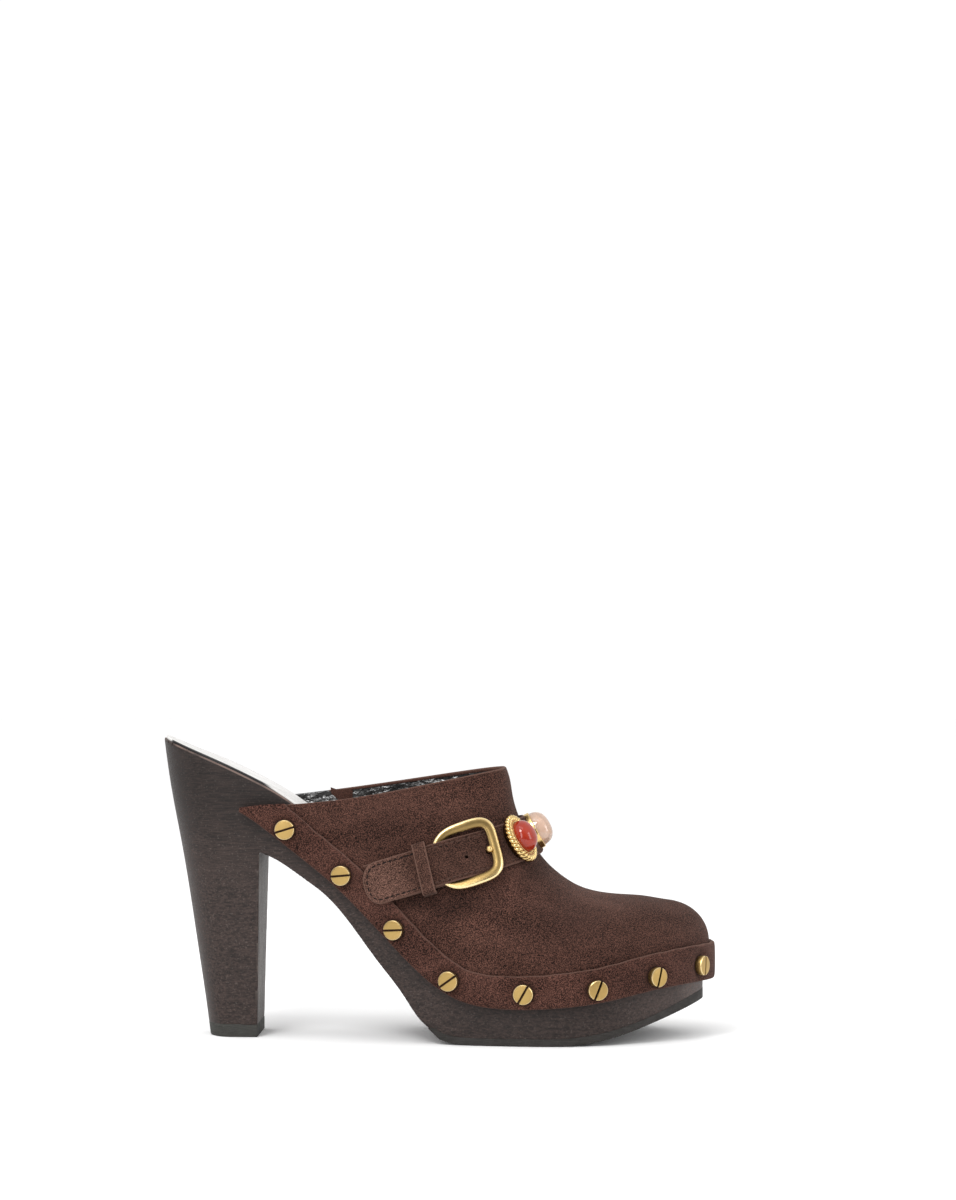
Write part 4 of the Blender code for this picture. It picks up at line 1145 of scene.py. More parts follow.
def softened_field(field):
    """Even out the small kinks that the ribs leave along the field."""
    for _ in range(FIELD_PASSES):
        field[1:-1] = 0.5 * field[1:-1] + 0.25 * (field[:-2] + field[2:])
    return field


FIELD = softened_field(strap_field())
FIELD_NORMAL = grid_normals(FIELD)


def field_at(place, side_step, lift=0.0):
    """Point over the upper at a place along and across the strap, and the normal there."""
    rows, columns = FIELD.shape[:2]
    i = min(np.interp(place, FIELD_PLACES, np.arange(rows)), rows - 1.001)
    j = min(np.interp(side_step, FIELD_ACROSS, np.arange(columns)), columns - 1.001)
    a, b = int(i), int(j)
    u, v = i - a, j - b
    mixed = []
    for table in (FIELD, FIELD_NORMAL):
        near = table[a, b] * (1 - v) + table[a, b + 1] * v
        far = table[a + 1, b] * (1 - v) + table[a + 1, b + 1] * v
        mixed.append(near * (1 - u) + far * u)
    normal = unit(mixed[1])
    return mixed[0] + lift * normal, normal


RIDGE_PLACE = float(FIELD_PLACES[int(np.argmax(FIELD[:, len(FIELD_ACROSS) // 2, 0]))])
print("strap crosses the ridge %.0f mm from the buckle" % RIDGE_PLACE)

# %% [markdown]
# ## Straps
# Each strap is two layers of suede sewn edge to edge, so its section is a flat cushion: thin at
# the very edge, full just inside it, with a shallow groove where the thread pulls the layers
# together. The height of the top is therefore a function of the distance to the strap's outline,
# which rounds the free end by itself. The holes are real holes, cut with a Boolean.

# %% Outline and section of the instep strap
STRAP_WIDTH = 16.8
STRAP_THICK = 1.6
STRAP_REST = 0.55
RAND_STOP = 1.6
FREE_END = -42.5
TIP = 0.42 * STRAP_WIDTH
STITCH_INSET = 1.65
KEEPER_PLACE = -18.0
LIFT_PLACE = (-60.0, -36.0, -26.0, -15.0, -11.5, -7.0, 6.0, 9.0, 20.0, 400.0)
LIFT_HEIGHT = (2.8, 2.8, 2.5, 3.0, 3.5, 3.2, 0.8, STRAP_REST, STRAP_REST, STRAP_REST)
LANES = np.array([0.0, 0.12, 0.35, 0.7, 1.1, 1.4, 1.65, 1.9, 2.25, 2.7, 3.4, 4.5, 6.0, 7.4])
HALF_STRAP = 0.5 * STRAP_WIDTH
LANE_STEPS = np.concatenate([-HALF_STRAP + LANES, [0.0], HALF_STRAP - LANES[::-1]])
ROUND_POWER = 2.4


def round_end(share):
    """Width of a rounded end, as a share, where this share of its length has gone by."""
    return (1.0 - (1.0 - share) ** ROUND_POWER) ** (1.0 / ROUND_POWER)


def strap_lift(place):
    """Height of the underside of the instep strap over the upper."""
    wide = np.linspace(-2.5, 2.5, 7)
    return float(np.interp(place + wide, LIFT_PLACE, LIFT_HEIGHT).mean())


def rand_stop(side_step, medial):
    """Place along the strap where it reaches the rand's top edge."""
    stop = RIDGE_PLACE
    while True:
        stop += 0.25 if medial else -0.25
        point = field_at(stop, side_step)[0]
        if edge_distance(point[None, :])[0] < rand_height(-30.0) + RAND_STOP:
            return stop


def half_width(place):
    """Half the width of the instep strap; its free end is rounded."""
    return HALF_STRAP * round_end(np.clip((place - FREE_END) / TIP, 0.0, 1.0))


TIP_LINE = np.array([(p, half_width(p)) for p in FREE_END + TIP * np.linspace(0.0, 1.0, 60) ** 2])


def edge_inset(place, side_step, rounded):
    """Distance of a place on the strap from the strap's outline."""
    inset = HALF_STRAP - abs(side_step)
    if rounded and place < FREE_END + TIP + 4.0:
        gaps = np.hypot(TIP_LINE[:, 0] - place, TIP_LINE[:, 1] - abs(side_step))
        inset = min(inset, float(gaps.min()))
    return max(inset, 0.0)


def fullness(inset):
    """Share of the strap's thickness at a distance from its outline."""
    edge = math.sqrt(max(1.0 - (1.0 - min(inset / 0.8, 1.0)) ** 2, 0.0))
    bead = 0.22 * math.exp(-((inset - 1.05) / 0.5) ** 2)
    groove = 0.30 * math.exp(-((inset - STITCH_INSET) / 0.28) ** 2)
    return edge + bead - groove


def strap_skin(place_rows, rounded):
    """Points, faces, edge mark and painted light of the free end of a strap; each row has one place for
    each lane across.
    """
    top, bottom, inset_marks, end_light_marks = [], [], [], []
    for row in place_rows:
        upper_row, lower_row = [], []
        for place, share in zip(row, LANE_STEPS / HALF_STRAP):
            across = share * (half_width(place) if rounded else HALF_STRAP)
            inset = edge_inset(place, across, rounded)
            middle = (strap_lift(place) if rounded else STRAP_REST) + 0.5 * STRAP_THICK
            full = 0.5 * STRAP_THICK * fullness(inset)
            under = 0.5 * STRAP_THICK * min(fullness(inset), 1.0)
            upper_row.append(field_at(place, across, middle + full)[0])
            lower_row.append(field_at(place, across, middle - under)[0])
            inset_marks.append(inset)
            end_light_marks.append(float(rounded) * float(ramp(place, KEEPER_PLACE + 1.0, KEEPER_PLACE - 14.0)))
        top.append(np.array(upper_row))
        bottom.append(np.array(lower_row))
    rings = [np.concatenate([a, b[::-1]]) for a, b in zip(top, bottom)]
    marks = {}
    for name, values in (("inset", inset_marks), ("free_end", end_light_marks)):
        table = np.array(values).reshape(-1, len(LANE_STEPS))
        marks[name] = np.concatenate([table, table[:, ::-1]], axis=1)
    return (*loft(rings), marks)


# %% The two straps
HINGE_BAR = -11.3
BUCKLE_ROD = 1.45
PRONG_ACROSS = -0.6
PRONG_HOLE = 8.3
SPARE_HOLE = -0.8


def instep_rows():
    """Rows of places of the instep strap, from the free end to the medial rand."""
    tip = FREE_END + TIP * np.linspace(0.0, 1.0, 26)[:-1] ** 2
    run = np.arange(FREE_END + TIP, RIDGE_PLACE + 22.0, 1.1)
    rows = [[place] * len(LANE_STEPS) for place in np.concatenate([tip, run])]
    stops = np.array([rand_stop(step, True) for step in LANE_STEPS])
    last = rows[-1][0]
    rows += [list(last + (stops - last) * share) for share in np.linspace(0.0, 1.0, 40)[1:]]
    return rows


def short_rows():
    """Rows of places of the short strap that carries the buckle."""
    starts = np.array([rand_stop(step, False) for step in LANE_STEPS])
    end = HINGE_BAR + 0.4
    return [list(starts + (end - starts) * share) for share in np.linspace(0.0, 1.0, 34)]


def pin(place, side_step, radius):
    """A round punch that stands on the strap."""
    point, normal = field_at(place, side_step, 3.5)
    turn = Vector(normal).to_track_quat("Z", "Y").to_matrix().to_4x4()
    work = bmesh.new()
    bmesh.ops.create_cone(
        work, cap_ends=True, segments=28, radius1=radius * MM, radius2=radius * MM, depth=10.0 * MM,
        matrix=Matrix.Translation(Vector(to_metres(point)[0])) @ turn,
    )
    return put("punch", made_mesh(work, "punch"))


def punched(mesh, punches):
    """A mesh with round holes."""
    item = put("strap_blank", mesh)
    for punch in punches:
        cut(item, "DIFFERENCE", punch)
    result = finished_mesh(item, mesh.name)
    for punch in punches:
        bpy.data.objects.remove(punch, do_unlink=True)
    return result


blank = mesh_from("suede_instep_strap", *strap_skin(instep_rows(), True), weld=4e-6)
mesh = punched(blank, [pin(SPARE_HOLE, -0.4, 0.85), pin(PRONG_HOLE, PRONG_ACROSS, 1.25)])
strap = dress("suede_instep_strap", mesh, ["instep_strap"], sharp=50.0)
blank = mesh_from("suede_buckle_strap", *strap_skin(short_rows(), False), weld=4e-6)
short_strap = dress("suede_buckle_strap", blank, ["buckle_strap"], sharp=50.0)

# %% [markdown]
# ## Stitching
# Black waxed thread runs just inside the strap's edge, round the free end and along both sides.
# Each stitch is a short plump capsule that dips into the leather at its two ends. They are built
# as one joined mesh from a list of places, because an instance per stitch would be hundreds of
# objects.

# %% Sew the strap
STITCH_LONG = 1.75
STITCH_STEP = 2.3
STITCH_POINTS = np.linspace(0.0, 1.0, 9)
THREAD = 0.31
UNLIKE_ANY = np.array([0.31, 0.17, 0.94])


def around(count):
    """Even angles of a full turn."""
    return np.linspace(0.0, 2.0 * math.pi, count, endpoint=False)


def capsule(path, radii, sides=8):
    """Points and faces of a tube along a short path."""
    path = np.asarray(path)
    along = unit(np.gradient(path, axis=0))
    side = unit(np.cross(along, UNLIKE_ANY))
    up = np.cross(along, side)
    turn = around(sides)[:, None]
    rings = []
    for k, radius in enumerate(radii):
        rings.append(path[k] + radius * (np.cos(turn) * side[k] + np.sin(turn) * up[k]))
    return loft(rings)


def seam_line(side):
    """Places and steps of the seam on one side of the strap, from the middle of the free end."""
    inner = HALF_STRAP - STITCH_INSET
    line = []
    for share in np.linspace(0.0, 1.0, 80):
        place = FREE_END + STITCH_INSET + (TIP - STITCH_INSET) * share
        line.append((place, side * inner * round_end(share)))
    end = rand_stop(side * 6.4, True) - 1.0
    line += [(place, side * inner) for place in np.arange(FREE_END + TIP + 0.5, end, 0.5)]
    return np.array(line)


def stitch(seam, length, start):
    """One stitch that begins at a distance along the seam."""
    at = start + STITCH_LONG * STITCH_POINTS
    places = np.interp(at, length, seam[:, 0])
    steps = np.interp(at, length, seam[:, 1])
    bow = np.sin(math.pi * STITCH_POINTS) ** 0.5
    path = []
    for place, step, rise in zip(places, steps, bow):
        inset = edge_inset(place, step, True)
        top = strap_lift(place) + 0.5 * STRAP_THICK * (1.0 + fullness(inset))
        path.append(field_at(place, step, top - 0.22 + 0.26 * rise)[0])
    return capsule(path, THREAD * (0.45 + 0.55 * bow))


def sewn():
    """All stitches of the strap as one mesh; those ahead of the keeper are fuzzy with nap."""
    parts, fuzz = [], []
    for side in (-1.0, 1.0):
        seam = seam_line(side)
        length = lengths(seam)
        for start in np.arange(0.4, length[-1] - STITCH_LONG, STITCH_STEP):
            parts.append(stitch(seam, length, start))
            ahead = np.interp(start, length, seam[:, 0]) > KEEPER_PLACE
            fuzz.append(np.full(len(parts[-1][0]), float(ahead)))
    print("stitches:", len(parts))
    return (*joined(parts), {"fuzz": np.concatenate(fuzz)})


mesh = mesh_from("strap_stitching", *sewn(), weld=1e-7)
thread = dress("strap_stitching", mesh, (), sharp=60.0)

# %% [markdown]
# ## The keeper loop
# A narrow loop of the same suede holds the free end down. It is one section, drawn round the
# strap and stretched to the loop's width, with its edges rounded by a bevel.

# %% Keeper
KEEPER_WIDTH = 5.2
KEEPER_THICK = 1.3
KEEPER_BEND_OUT = 1.5
KEEPER_BEND_IN = 0.6


def bent(corner, radius):
    """Points of a rounded corner of the loop, from its top to its side."""
    wide, high = corner
    turn = np.linspace(0.0, 0.5 * math.pi, 6)
    return [(wide - radius + radius * math.sin(a), high - radius + radius * math.cos(a)) for a in turn]


def keeper_loop():
    """The loop over the strap."""
    half = HALF_STRAP + 0.6
    top = strap_lift(KEEPER_PLACE) + STRAP_THICK + 0.45
    outer, crown = half + KEEPER_THICK, top + KEEPER_THICK
    right = [(outer, GAP)] + bent((outer, crown), KEEPER_BEND_OUT)[::-1]
    under = bent((half, top), KEEPER_BEND_IN) + [(half, GAP)]
    flat = np.linspace(0.8, -0.8, 9) * (half - 1.0)
    section = right + [(w, crown) for w in flat] + [(-w, h) for w, h in reversed(right)]
    section += [(-w, h) for w, h in reversed(under)] + [(w, top) for w in -flat] + under
    rings, inset = [], []
    for share in np.linspace(-0.5, 0.5, 17):
        place = KEEPER_PLACE + KEEPER_WIDTH * share
        crown_up = 0.12 * math.cos(math.pi * share)
        rings.append(np.array([field_at(place, w, h + crown_up * (h > 1.0))[0] for w, h in section]))
        inset += [KEEPER_WIDTH * (0.5 - abs(share))] * len(section)
    return (*loft(rings), inset)


points, faces, inset = keeper_loop()
mesh = softened("suede_keeper", points, faces, 0.35, marks={"inset": inset})
keeper = dress("suede_keeper", mesh, ["keeper_loop"], sharp=50.0)

# %% [markdown]
# ## The buckle
# The frame is a cast brass bar, broad and low, with its crest near the outer edge and a long
# slope to the inside. It is broadest at the outer bar and thins towards the hinge, which hides
# under the strap. One section is swept along a squared oval that follows the curve of the foot.
# The prong comes up through its hole and ends in a small ball at the outer bar. A curve object
# with a bevel would do for a round rod; the sweep lets the section change on its way.

# %% Buckle frame
BUCKLE_HALF_LENGTH = 11.3
BUCKLE_HALF_HEIGHT = 11.6
BUCKLE_ACROSS = 0.75
BAR_SHRINK = 0.5
HINGE_STRETCH = 1.7
SQUARE_OUTER = 5.2
SQUARE_HINGE = 2.9
BAR_PLACE = (-12.6, -6.0, 2.0, 11.3)
BAR_HALF_WIDTH = (1.7, 1.95, 2.1, 2.15)
BAR_HEIGHT = 1.35
BAR_SECTION = (
    (1.0, -0.35), (0.98, 0.2), (0.84, 0.64), (0.58, 0.92), (0.24, 1.0), (-0.16, 0.93), (-0.52, 0.74),
    (-0.82, 0.42), (-0.97, 0.02), (-0.94, -0.42), (-0.66, -0.7), (0.0, -0.78), (0.62, -0.74), (0.92, -0.6),
)


def bar_lift(place):
    """Height of the middle of the buckle's rod."""
    low = GAP + BUCKLE_ROD
    high = low + STRAP_THICK + 2.0 * GAP
    return low + (high - low) * float(ramp(place, -BUCKLE_HALF_LENGTH, BUCKLE_HALF_LENGTH))


def evened(rows, passes):
    """Rows of a closed path with their small kinks evened out."""
    for _ in range(passes):
        rows = 0.5 * rows + 0.25 * (np.roll(rows, 1, axis=0) + np.roll(rows, -1, axis=0))
    return rows


def buckle_path(count=150):
    """Centres of the bar, the outward direction of the upper there, and half the bar's width."""
    centres, normals, widths = [], [], []
    for angle in around(count):
        c, s = math.cos(angle), math.sin(angle)
        square = SQUARE_HINGE + (SQUARE_OUTER - SQUARE_HINGE) * float(smooth(0.5 + 0.8 * c))
        reach = (abs(c) ** square + abs(s) ** square) ** (-1.0 / square)
        place = (BUCKLE_HALF_LENGTH - BAR_SHRINK + HINGE_STRETCH * (c < 0.0)) * reach * c
        across = BUCKLE_ACROSS + (BUCKLE_HALF_HEIGHT - BAR_SHRINK) * reach * s
        point, normal = field_at(place, across, bar_lift(place))
        centres.append(point)
        normals.append(normal)
        widths.append(np.interp(place, BAR_PLACE, BAR_HALF_WIDTH))
    return evened(np.array(centres), 18), evened(np.array(normals), 60), np.array(widths)


def swept_bar(centres, normals, widths):
    """The bar's section, positive away from the middle of the buckle, swept round the path."""
    along = unit(np.roll(centres, -1, axis=0) - np.roll(centres, 1, axis=0))
    side = unit(np.cross(along, normals))
    side *= np.sign(((centres - centres.mean(axis=0)) * side).sum(axis=1).mean())
    up = unit(normals - (normals * side).sum(axis=1)[:, None] * side)
    knots = np.array(BAR_SECTION + BAR_SECTION[:1])
    section = natural_spline(np.arange(len(knots)), knots)(np.linspace(0.0, len(knots) - 1.0, 43)[:-1])
    wide, high = section[:, :1], BAR_HEIGHT * section[:, 1:]
    rings = [centres[i] + widths[i] * wide * side[i] + high * up[i] for i in range(len(centres))]
    # The inner slope is painted olive-dark: patina, and a painted reflection of the dark suede.
    patina = ramp(section[:, 0], 0.52, 0.0) * ramp(section[:, 0], -1.0, -0.78)
    # The outer crest is painted bright: wear and a painted highlight.
    worn_and_lit = ramp(section[:, 0], 0.3, 0.7)
    marks = {"patina": np.tile(patina, len(centres)), "rim": np.tile(worn_and_lit, len(centres))}
    return (*loft(rings, True), marks)


mesh = mesh_from("brass_buckle", *swept_bar(*buckle_path()))
buckle = dress("brass_buckle", mesh, ["buckle_frame"], sharp=60.0)

# %% Prong
PRONG = ((8.3, 0.6, 0.7), (8.3, 2.0, 0.7), (8.3, 3.4, 0.75), (8.25, 4.2, 0.8), (8.2, 4.8, 0.8))
PRONG_BALL = (8.1, 4.9, 1.4)


def level_oval(long_half, short_half, turn, height=0.0):
    """Points of an oval in a level plane."""
    heights = np.full(len(turn), height)
    return np.stack([long_half * np.cos(turn), short_half * np.sin(turn), heights], axis=1)


def ball(centre, radius, rows=12, columns=18):
    """Points and faces of a small ball."""
    rings = []
    for lift in 0.5 * math.pi * np.linspace(-0.999, 0.999, rows):
        wide = math.cos(lift)
        rings.append(centre + radius * level_oval(wide, wide, around(columns), math.sin(lift)))
    return loft(rings)


path = natural_spline(np.arange(len(PRONG)), np.array(PRONG))(np.linspace(0.0, len(PRONG) - 1.0, 30))
stem = capsule([field_at(place, PRONG_ACROSS, rise)[0] for place, rise in path[:, :2]], path[:, 2], 16)
tip = ball(field_at(PRONG_BALL[0], PRONG_ACROSS, PRONG_BALL[1])[0], PRONG_BALL[2])
mesh = mesh_from("brass_prong", *joined([stem, tip]))
prong = dress("brass_prong", mesh, ["buckle_prong"], sharp=60.0)

# %% [markdown]
# ## Stones and their settings
# Two oval cabochons sit on the strap: an opaque coral-red one in a setting with a twisted rope
# and a row of grains, and a clear rose one in a plain rim. A cabochon is the top of an ellipsoid
# with a short straight girdle. The rope is two strands that wind round each other along an oval,
# the grains are small balls in a row, and the rims are turned sections swept round the oval.

# %% Seats of the stones
STONE_COLUMNS = (
    "name", "short_of_ridge", "across", "long_half", "short_half",
    "dome", "girdle", "fullness", "lean", "finish",
)
STONES = (
    ("red_stone", 21.5, 0.2, 6.8, 5.8, 5.2, 1.8, 2.2, 14.0, "coral"),
    ("pink_stone", 0.0, 0.5, 7.4, 5.8, 6.4, 0.8, 2.4, 0.0, "rose"),
)
STONE_SEAT = 0.8


def stone_axes(place, across, lean):
    """A stone's seat and its axes: long across the strap, short along it, outward."""
    lift = strap_lift(place) + STRAP_THICK + STONE_SEAT
    point, normal = field_at(place, across, lift)
    onward = field_at(place + 3.0, across)[0] - field_at(place - 3.0, across)[0]
    normal = unit(normal + math.tan(math.radians(lean)) * unit(onward))
    long_axis = field_at(place, 6.0)[0] - field_at(place, -6.0)[0]
    long_axis = unit(long_axis - normal * (long_axis @ normal))
    return point, np.stack([long_axis, np.cross(normal, long_axis), normal])


def set_down(seat, local):
    """Points given in a stone's own axes, on the shoe."""
    point, axes = seat
    return point + np.asarray(local) @ axes


def oval(long_half, short_half, count):
    """Even places round an oval, in the stone's own axes, with the outward direction."""
    turn = np.linspace(0.0, 2.0 * math.pi, 721)
    length = lengths(level_oval(long_half, short_half, turn))
    at = np.interp(np.linspace(0.0, length[-1], count, endpoint=False), length, turn)
    return level_oval(long_half, short_half, at), unit(level_oval(short_half, long_half, at))


def turned_ring(long_half, short_half, section, count=120):
    """A section of steps outward and up, swept round an oval, in the stone's own axes."""
    line, out = oval(long_half, short_half, count)
    up = np.array([0.0, 0.0, 1.0])
    rings = [line[i] + np.array([a * out[i] + b * up for a, b in section]) for i in range(count)]
    return loft(rings, True)


def cabochon(stone):
    """The stone: a domed oval with a short girdle."""
    power = 2.0 / stone["fullness"]
    profile = [(0.9, -0.6), (1.0, -0.4), (1.0, 0.0)]
    for angle in np.linspace(0.0, 0.5 * math.pi, 30)[1:-1]:
        profile.append((math.cos(angle) ** power, math.sin(angle) ** power))
    profile.append((0.012, 1.0))
    rings = []
    for wide, rise in profile:
        height = rise * (stone["dome"] if rise > 0.0 else 1.0) + stone["girdle"] * (rise >= 0.0)
        rings.append(level_oval(stone["long_half"] * wide, stone["short_half"] * wide, around(72), height))
    return loft(rings)


# %% Rope, grains and rims
ROPE_TURNS = 15
ROPE_STRAND = 0.82
ROPE_RADIUS = ROPE_STRAND * 1.12
ROPE_STEPS = 22
GRAIN = 0.48
GRAINS = 42
SETTING_BASE = ((1.8, -2.6), (2.7, -1.2), (2.9, -0.3), (2.4, 0.3), (1.2, 0.6), (0.2, 0.8), (0.2, -2.6))
PLAIN_RIM = 0.6
PLAIN_RIM_TOP = 1.3


def rope(long_half, short_half, height):
    """Two strands wound round each other along an oval, with grime and painted shade in the gaps between
    them.
    """
    parts, grime = [], []
    count = ROPE_TURNS * ROPE_STEPS
    line, out = oval(long_half, short_half, count)
    for strand in (0.0, math.pi):
        turn = strand + 2.0 * math.pi * ROPE_TURNS * np.arange(count) / count
        path = line + out * (ROPE_STRAND * np.cos(turn))[:, None]
        path[:, 2] = height + ROPE_STRAND * np.sin(turn)
        along = unit(np.roll(path, -1, axis=0) - np.roll(path, 1, axis=0))
        side = unit(np.cross(along, (0.0, 0.0, 1.0)))
        up = np.cross(side, along)
        ring_turn = around(10)[:, None]
        rings = []
        for i in range(count):
            rings.append(path[i] + ROPE_RADIUS * (np.cos(ring_turn) * side[i] + np.sin(ring_turn) * up[i]))
        parts.append(loft(rings, True))
        core = np.repeat(line + (0.0, 0.0, height), len(ring_turn), axis=0)
        far = np.linalg.norm(parts[-1][0] - core, axis=1) / ROPE_STRAND
        grime.append(ramp(far, 1.9, 1.2))
    return joined(parts), np.concatenate(grime)


def grains(long_half, short_half, height):
    """A row of small balls round an oval."""
    line = oval(long_half, short_half, GRAINS)[0]
    return joined([ball(point + np.array([0.0, 0.0, height]), GRAIN, 7, 10) for point in line])


def thin_rim(rim, top, low=-0.7):
    """Section of a plain upright rim with a rolled top."""
    half = 0.5 * rim
    turn = np.linspace(0.0, math.pi, 9)
    roll = [(half + half * math.cos(a), top - half + half * math.sin(a)) for a in turn]
    return [(rim, low)] + roll + [(0.0, low)]


def red_setting(stone):
    """Rope, grains, inner rim and base of the red stone."""
    a, b = stone["long_half"], stone["short_half"]
    base = turned_ring(a, b, SETTING_BASE)
    inner = turned_ring(a + 0.05, b + 0.05, thin_rim(0.4, 1.45))
    strands, dark = rope(a + 2.15, b + 2.15, 0.3)
    row = grains(a + 0.8, b + 0.8, 0.95)
    # The base under the rope and the rope's gaps are painted dark: painted shade with some grime.
    grime = [np.full(len(base[0]), 0.75), np.zeros(len(inner[0])), dark, np.zeros(len(row[0]))]
    return (*joined([base, inner, strands, row]), {"grime": np.concatenate(grime)})


def plain_setting(stone):
    """A plain upright rim for the clear stone."""
    section = thin_rim(PLAIN_RIM, PLAIN_RIM_TOP, -1.4)
    return (*turned_ring(stone["long_half"] + 0.05, stone["short_half"] + 0.05, section), {})


# %% Set the stones
settings, gems = [], []
for stone in named(STONE_COLUMNS, STONES):
    seat = stone_axes(RIDGE_PLACE - stone["short_of_ridge"], stone["across"], stone["lean"])
    points, faces = cabochon(stone)
    mesh = mesh_from("cabochon_" + stone["finish"], set_down(seat, points), faces)
    gems.append(dress("cabochon_" + stone["finish"], mesh, [stone["name"]], sharp=50.0))
    maker = red_setting if stone["finish"] == "coral" else plain_setting
    points, faces, marks = maker(stone)
    mesh = mesh_from("setting_" + stone["finish"], set_down(seat, points), faces, marks)
    bezel = [stone["name"] + "_bezel"]
    settings.append(dress("setting_" + stone["finish"], mesh, bezel, sharp=45.0))

# %% [markdown]
# ## Building materials from nodes
# A material here is a few textures that change colour, gloss and bump over the surface. A few
# helpers keep that short: one adds a node and sets or links its inputs, another starts a node
# group with named sockets, and the rest are the few nodes that every finish needs. A group gives
# only colours, masks and heights, so the Principled shader stays in each material, with its
# constant values on its own sockets.

# %% Node helpers
def add(tree, kind, inputs=None, **settings):
    """Add a node, set its fields, and set or link its inputs."""
    made = tree.nodes.new(kind)
    for field, value in settings.items():
        setattr(made, field, value)
    for socket, value in (inputs or {}).items():
        if isinstance(value, bpy.types.NodeSocket):
            tree.links.new(value, made.inputs[socket])
        else:
            made.inputs[socket].default_value = value
    return made


def new_group(name, inputs, outputs):
    """A node group with named sockets, and its input and output nodes."""
    tree = bpy.data.node_groups.new(name, "ShaderNodeTree")
    for label, kind, value in inputs:
        tree.interface.new_socket(label, in_out="INPUT", socket_type=kind).default_value = value
    for label, kind in outputs:
        tree.interface.new_socket(label, in_out="OUTPUT", socket_type=kind)
    return tree, tree.nodes.new("NodeGroupInput"), tree.nodes.new("NodeGroupOutput")


def noise(tree, where, scale, detail=3.0, roughness=0.55, distortion=0.0):
    """A noise texture's value."""
    inputs = {"Vector": where, "Scale": scale, "Detail": detail, "Roughness": roughness}
    inputs["Distortion"] = distortion
    return add(tree, "ShaderNodeTexNoise", inputs).outputs["Fac"]


def spread(tree, value, low, high, to_low, to_high):
    """Map a value from one range to another, clamped and eased."""
    inputs = {"Value": value, "From Min": low, "From Max": high, "To Min": to_low, "To Max": to_high}
    return add(tree, "ShaderNodeMapRange", inputs, interpolation_type="SMOOTHSTEP").outputs["Result"]


def reckon(tree, operation, first, second):
    """Work out one number from two."""
    return add(tree, "ShaderNodeMath", {0: first, 1: second}, operation=operation).outputs["Value"]


def times(tree, first, second):
    """One number times another."""
    return reckon(tree, "MULTIPLY", first, second)


def plus(tree, first, second):
    """One number added to another."""
    return reckon(tree, "ADD", first, second)


def feed(node, socket, value):
    """Link a value to a socket of a node in the same tree."""
    node.id_data.links.new(value, node.inputs[socket])


def blend_colour(tree, share, first, second):
    """Mix two colours."""
    made = add(tree, "ShaderNodeMix", {0: share, 6: first, 7: second}, data_type="RGBA")
    return made.outputs[2]


def toned(tree, colour, tone):
    """A colour made lighter or darker by a number."""
    made = add(tree, "ShaderNodeVectorMath", {0: colour, "Scale": tone}, operation="SCALE")
    return made.outputs["Vector"]


def place_in(tree):
    """Coordinates of the surface in metres of the shoe."""
    return tree.nodes.new("ShaderNodeTexCoord").outputs["Object"]


def stretched(tree, where, turn, scale):
    """Coordinates turned and stretched, for streaks."""
    inputs = {"Vector": where, "Rotation": turn, "Scale": scale}
    return add(tree, "ShaderNodeMapping", inputs, vector_type="POINT").outputs["Vector"]


# %% [markdown]
# ## Nap, for everything made of suede
# Suede is leather with its fibres raised. Close up it is a fine salt-and-pepper of fibre ends; from further
# off, strokes of a hand leave lighter and darker patches. The group mixes three sizes of noise: fibre ends
# under a millimetre across, faint tufts of a few millimetres, and brushed patches of some centimetres. The
# shade is the number kept on the points for the listed patches.
# Some of those patches are painted shadow that the strap casts on the upper.

# %% Group: nap
FIBRE_SCALE = 2700.0


def nap_group():
    """Colour, roughness and height of suede."""
    tree, take, give = new_group(
        "nap",
        [("Colour", "NodeSocketColor", (0.08, 0.04, 0.03, 1.0)), ("Speckle", "NodeSocketFloat", 0.3),
         ("Patches", "NodeSocketFloat", 0.2), ("Shade", "NodeSocketFloat", 0.0)],
        [("Colour", "NodeSocketColor"), ("Roughness", "NodeSocketFloat"), ("Height", "NodeSocketFloat")],
    )
    where = place_in(tree)
    fibres = noise(tree, where, FIBRE_SCALE, 1.0, 0.5)
    tufts = noise(tree, where, 420.0, 3.0, 0.6)
    stroked = stretched(tree, where, (0.0, 0.45, 0.0), (1.0, 1.4, 2.6))
    strokes = noise(tree, stroked, 34.0, 3.0, 0.5, 0.6)
    fine = spread(tree, fibres, 0.36, 0.70, -0.8, 1.2)
    middle = spread(tree, tufts, 0.3, 0.7, -0.05, 0.05)
    grain = times(tree, plus(tree, fine, middle), take.outputs["Speckle"])
    broad = times(tree, spread(tree, strokes, 0.3, 0.72, -1.0, 1.0), take.outputs["Patches"])
    tone = plus(tree, plus(tree, grain, broad), 1.0)
    tone = times(tree, tone, plus(tree, take.outputs["Shade"], 1.0))
    feed(give, "Colour", toned(tree, take.outputs["Colour"], tone))
    feed(give, "Roughness", spread(tree, strokes, 0.3, 0.7, 0.98, 0.86))
    height = plus(tree, fibres, times(tree, tufts, 0.2))
    feed(give, "Height", height)
    return tree


NAP = nap_group()
print("group:", NAP.name, "with", len(NAP.nodes), "nodes")

# %% [markdown]
# ## Streaks and specks
# Brushed wood, cast brass and buffed rubber all need two more effects: long fine streaks that
# follow one direction, and small specks of dust or pores. Each is a group of its own, so that a
# material can choose its direction, size and strength.

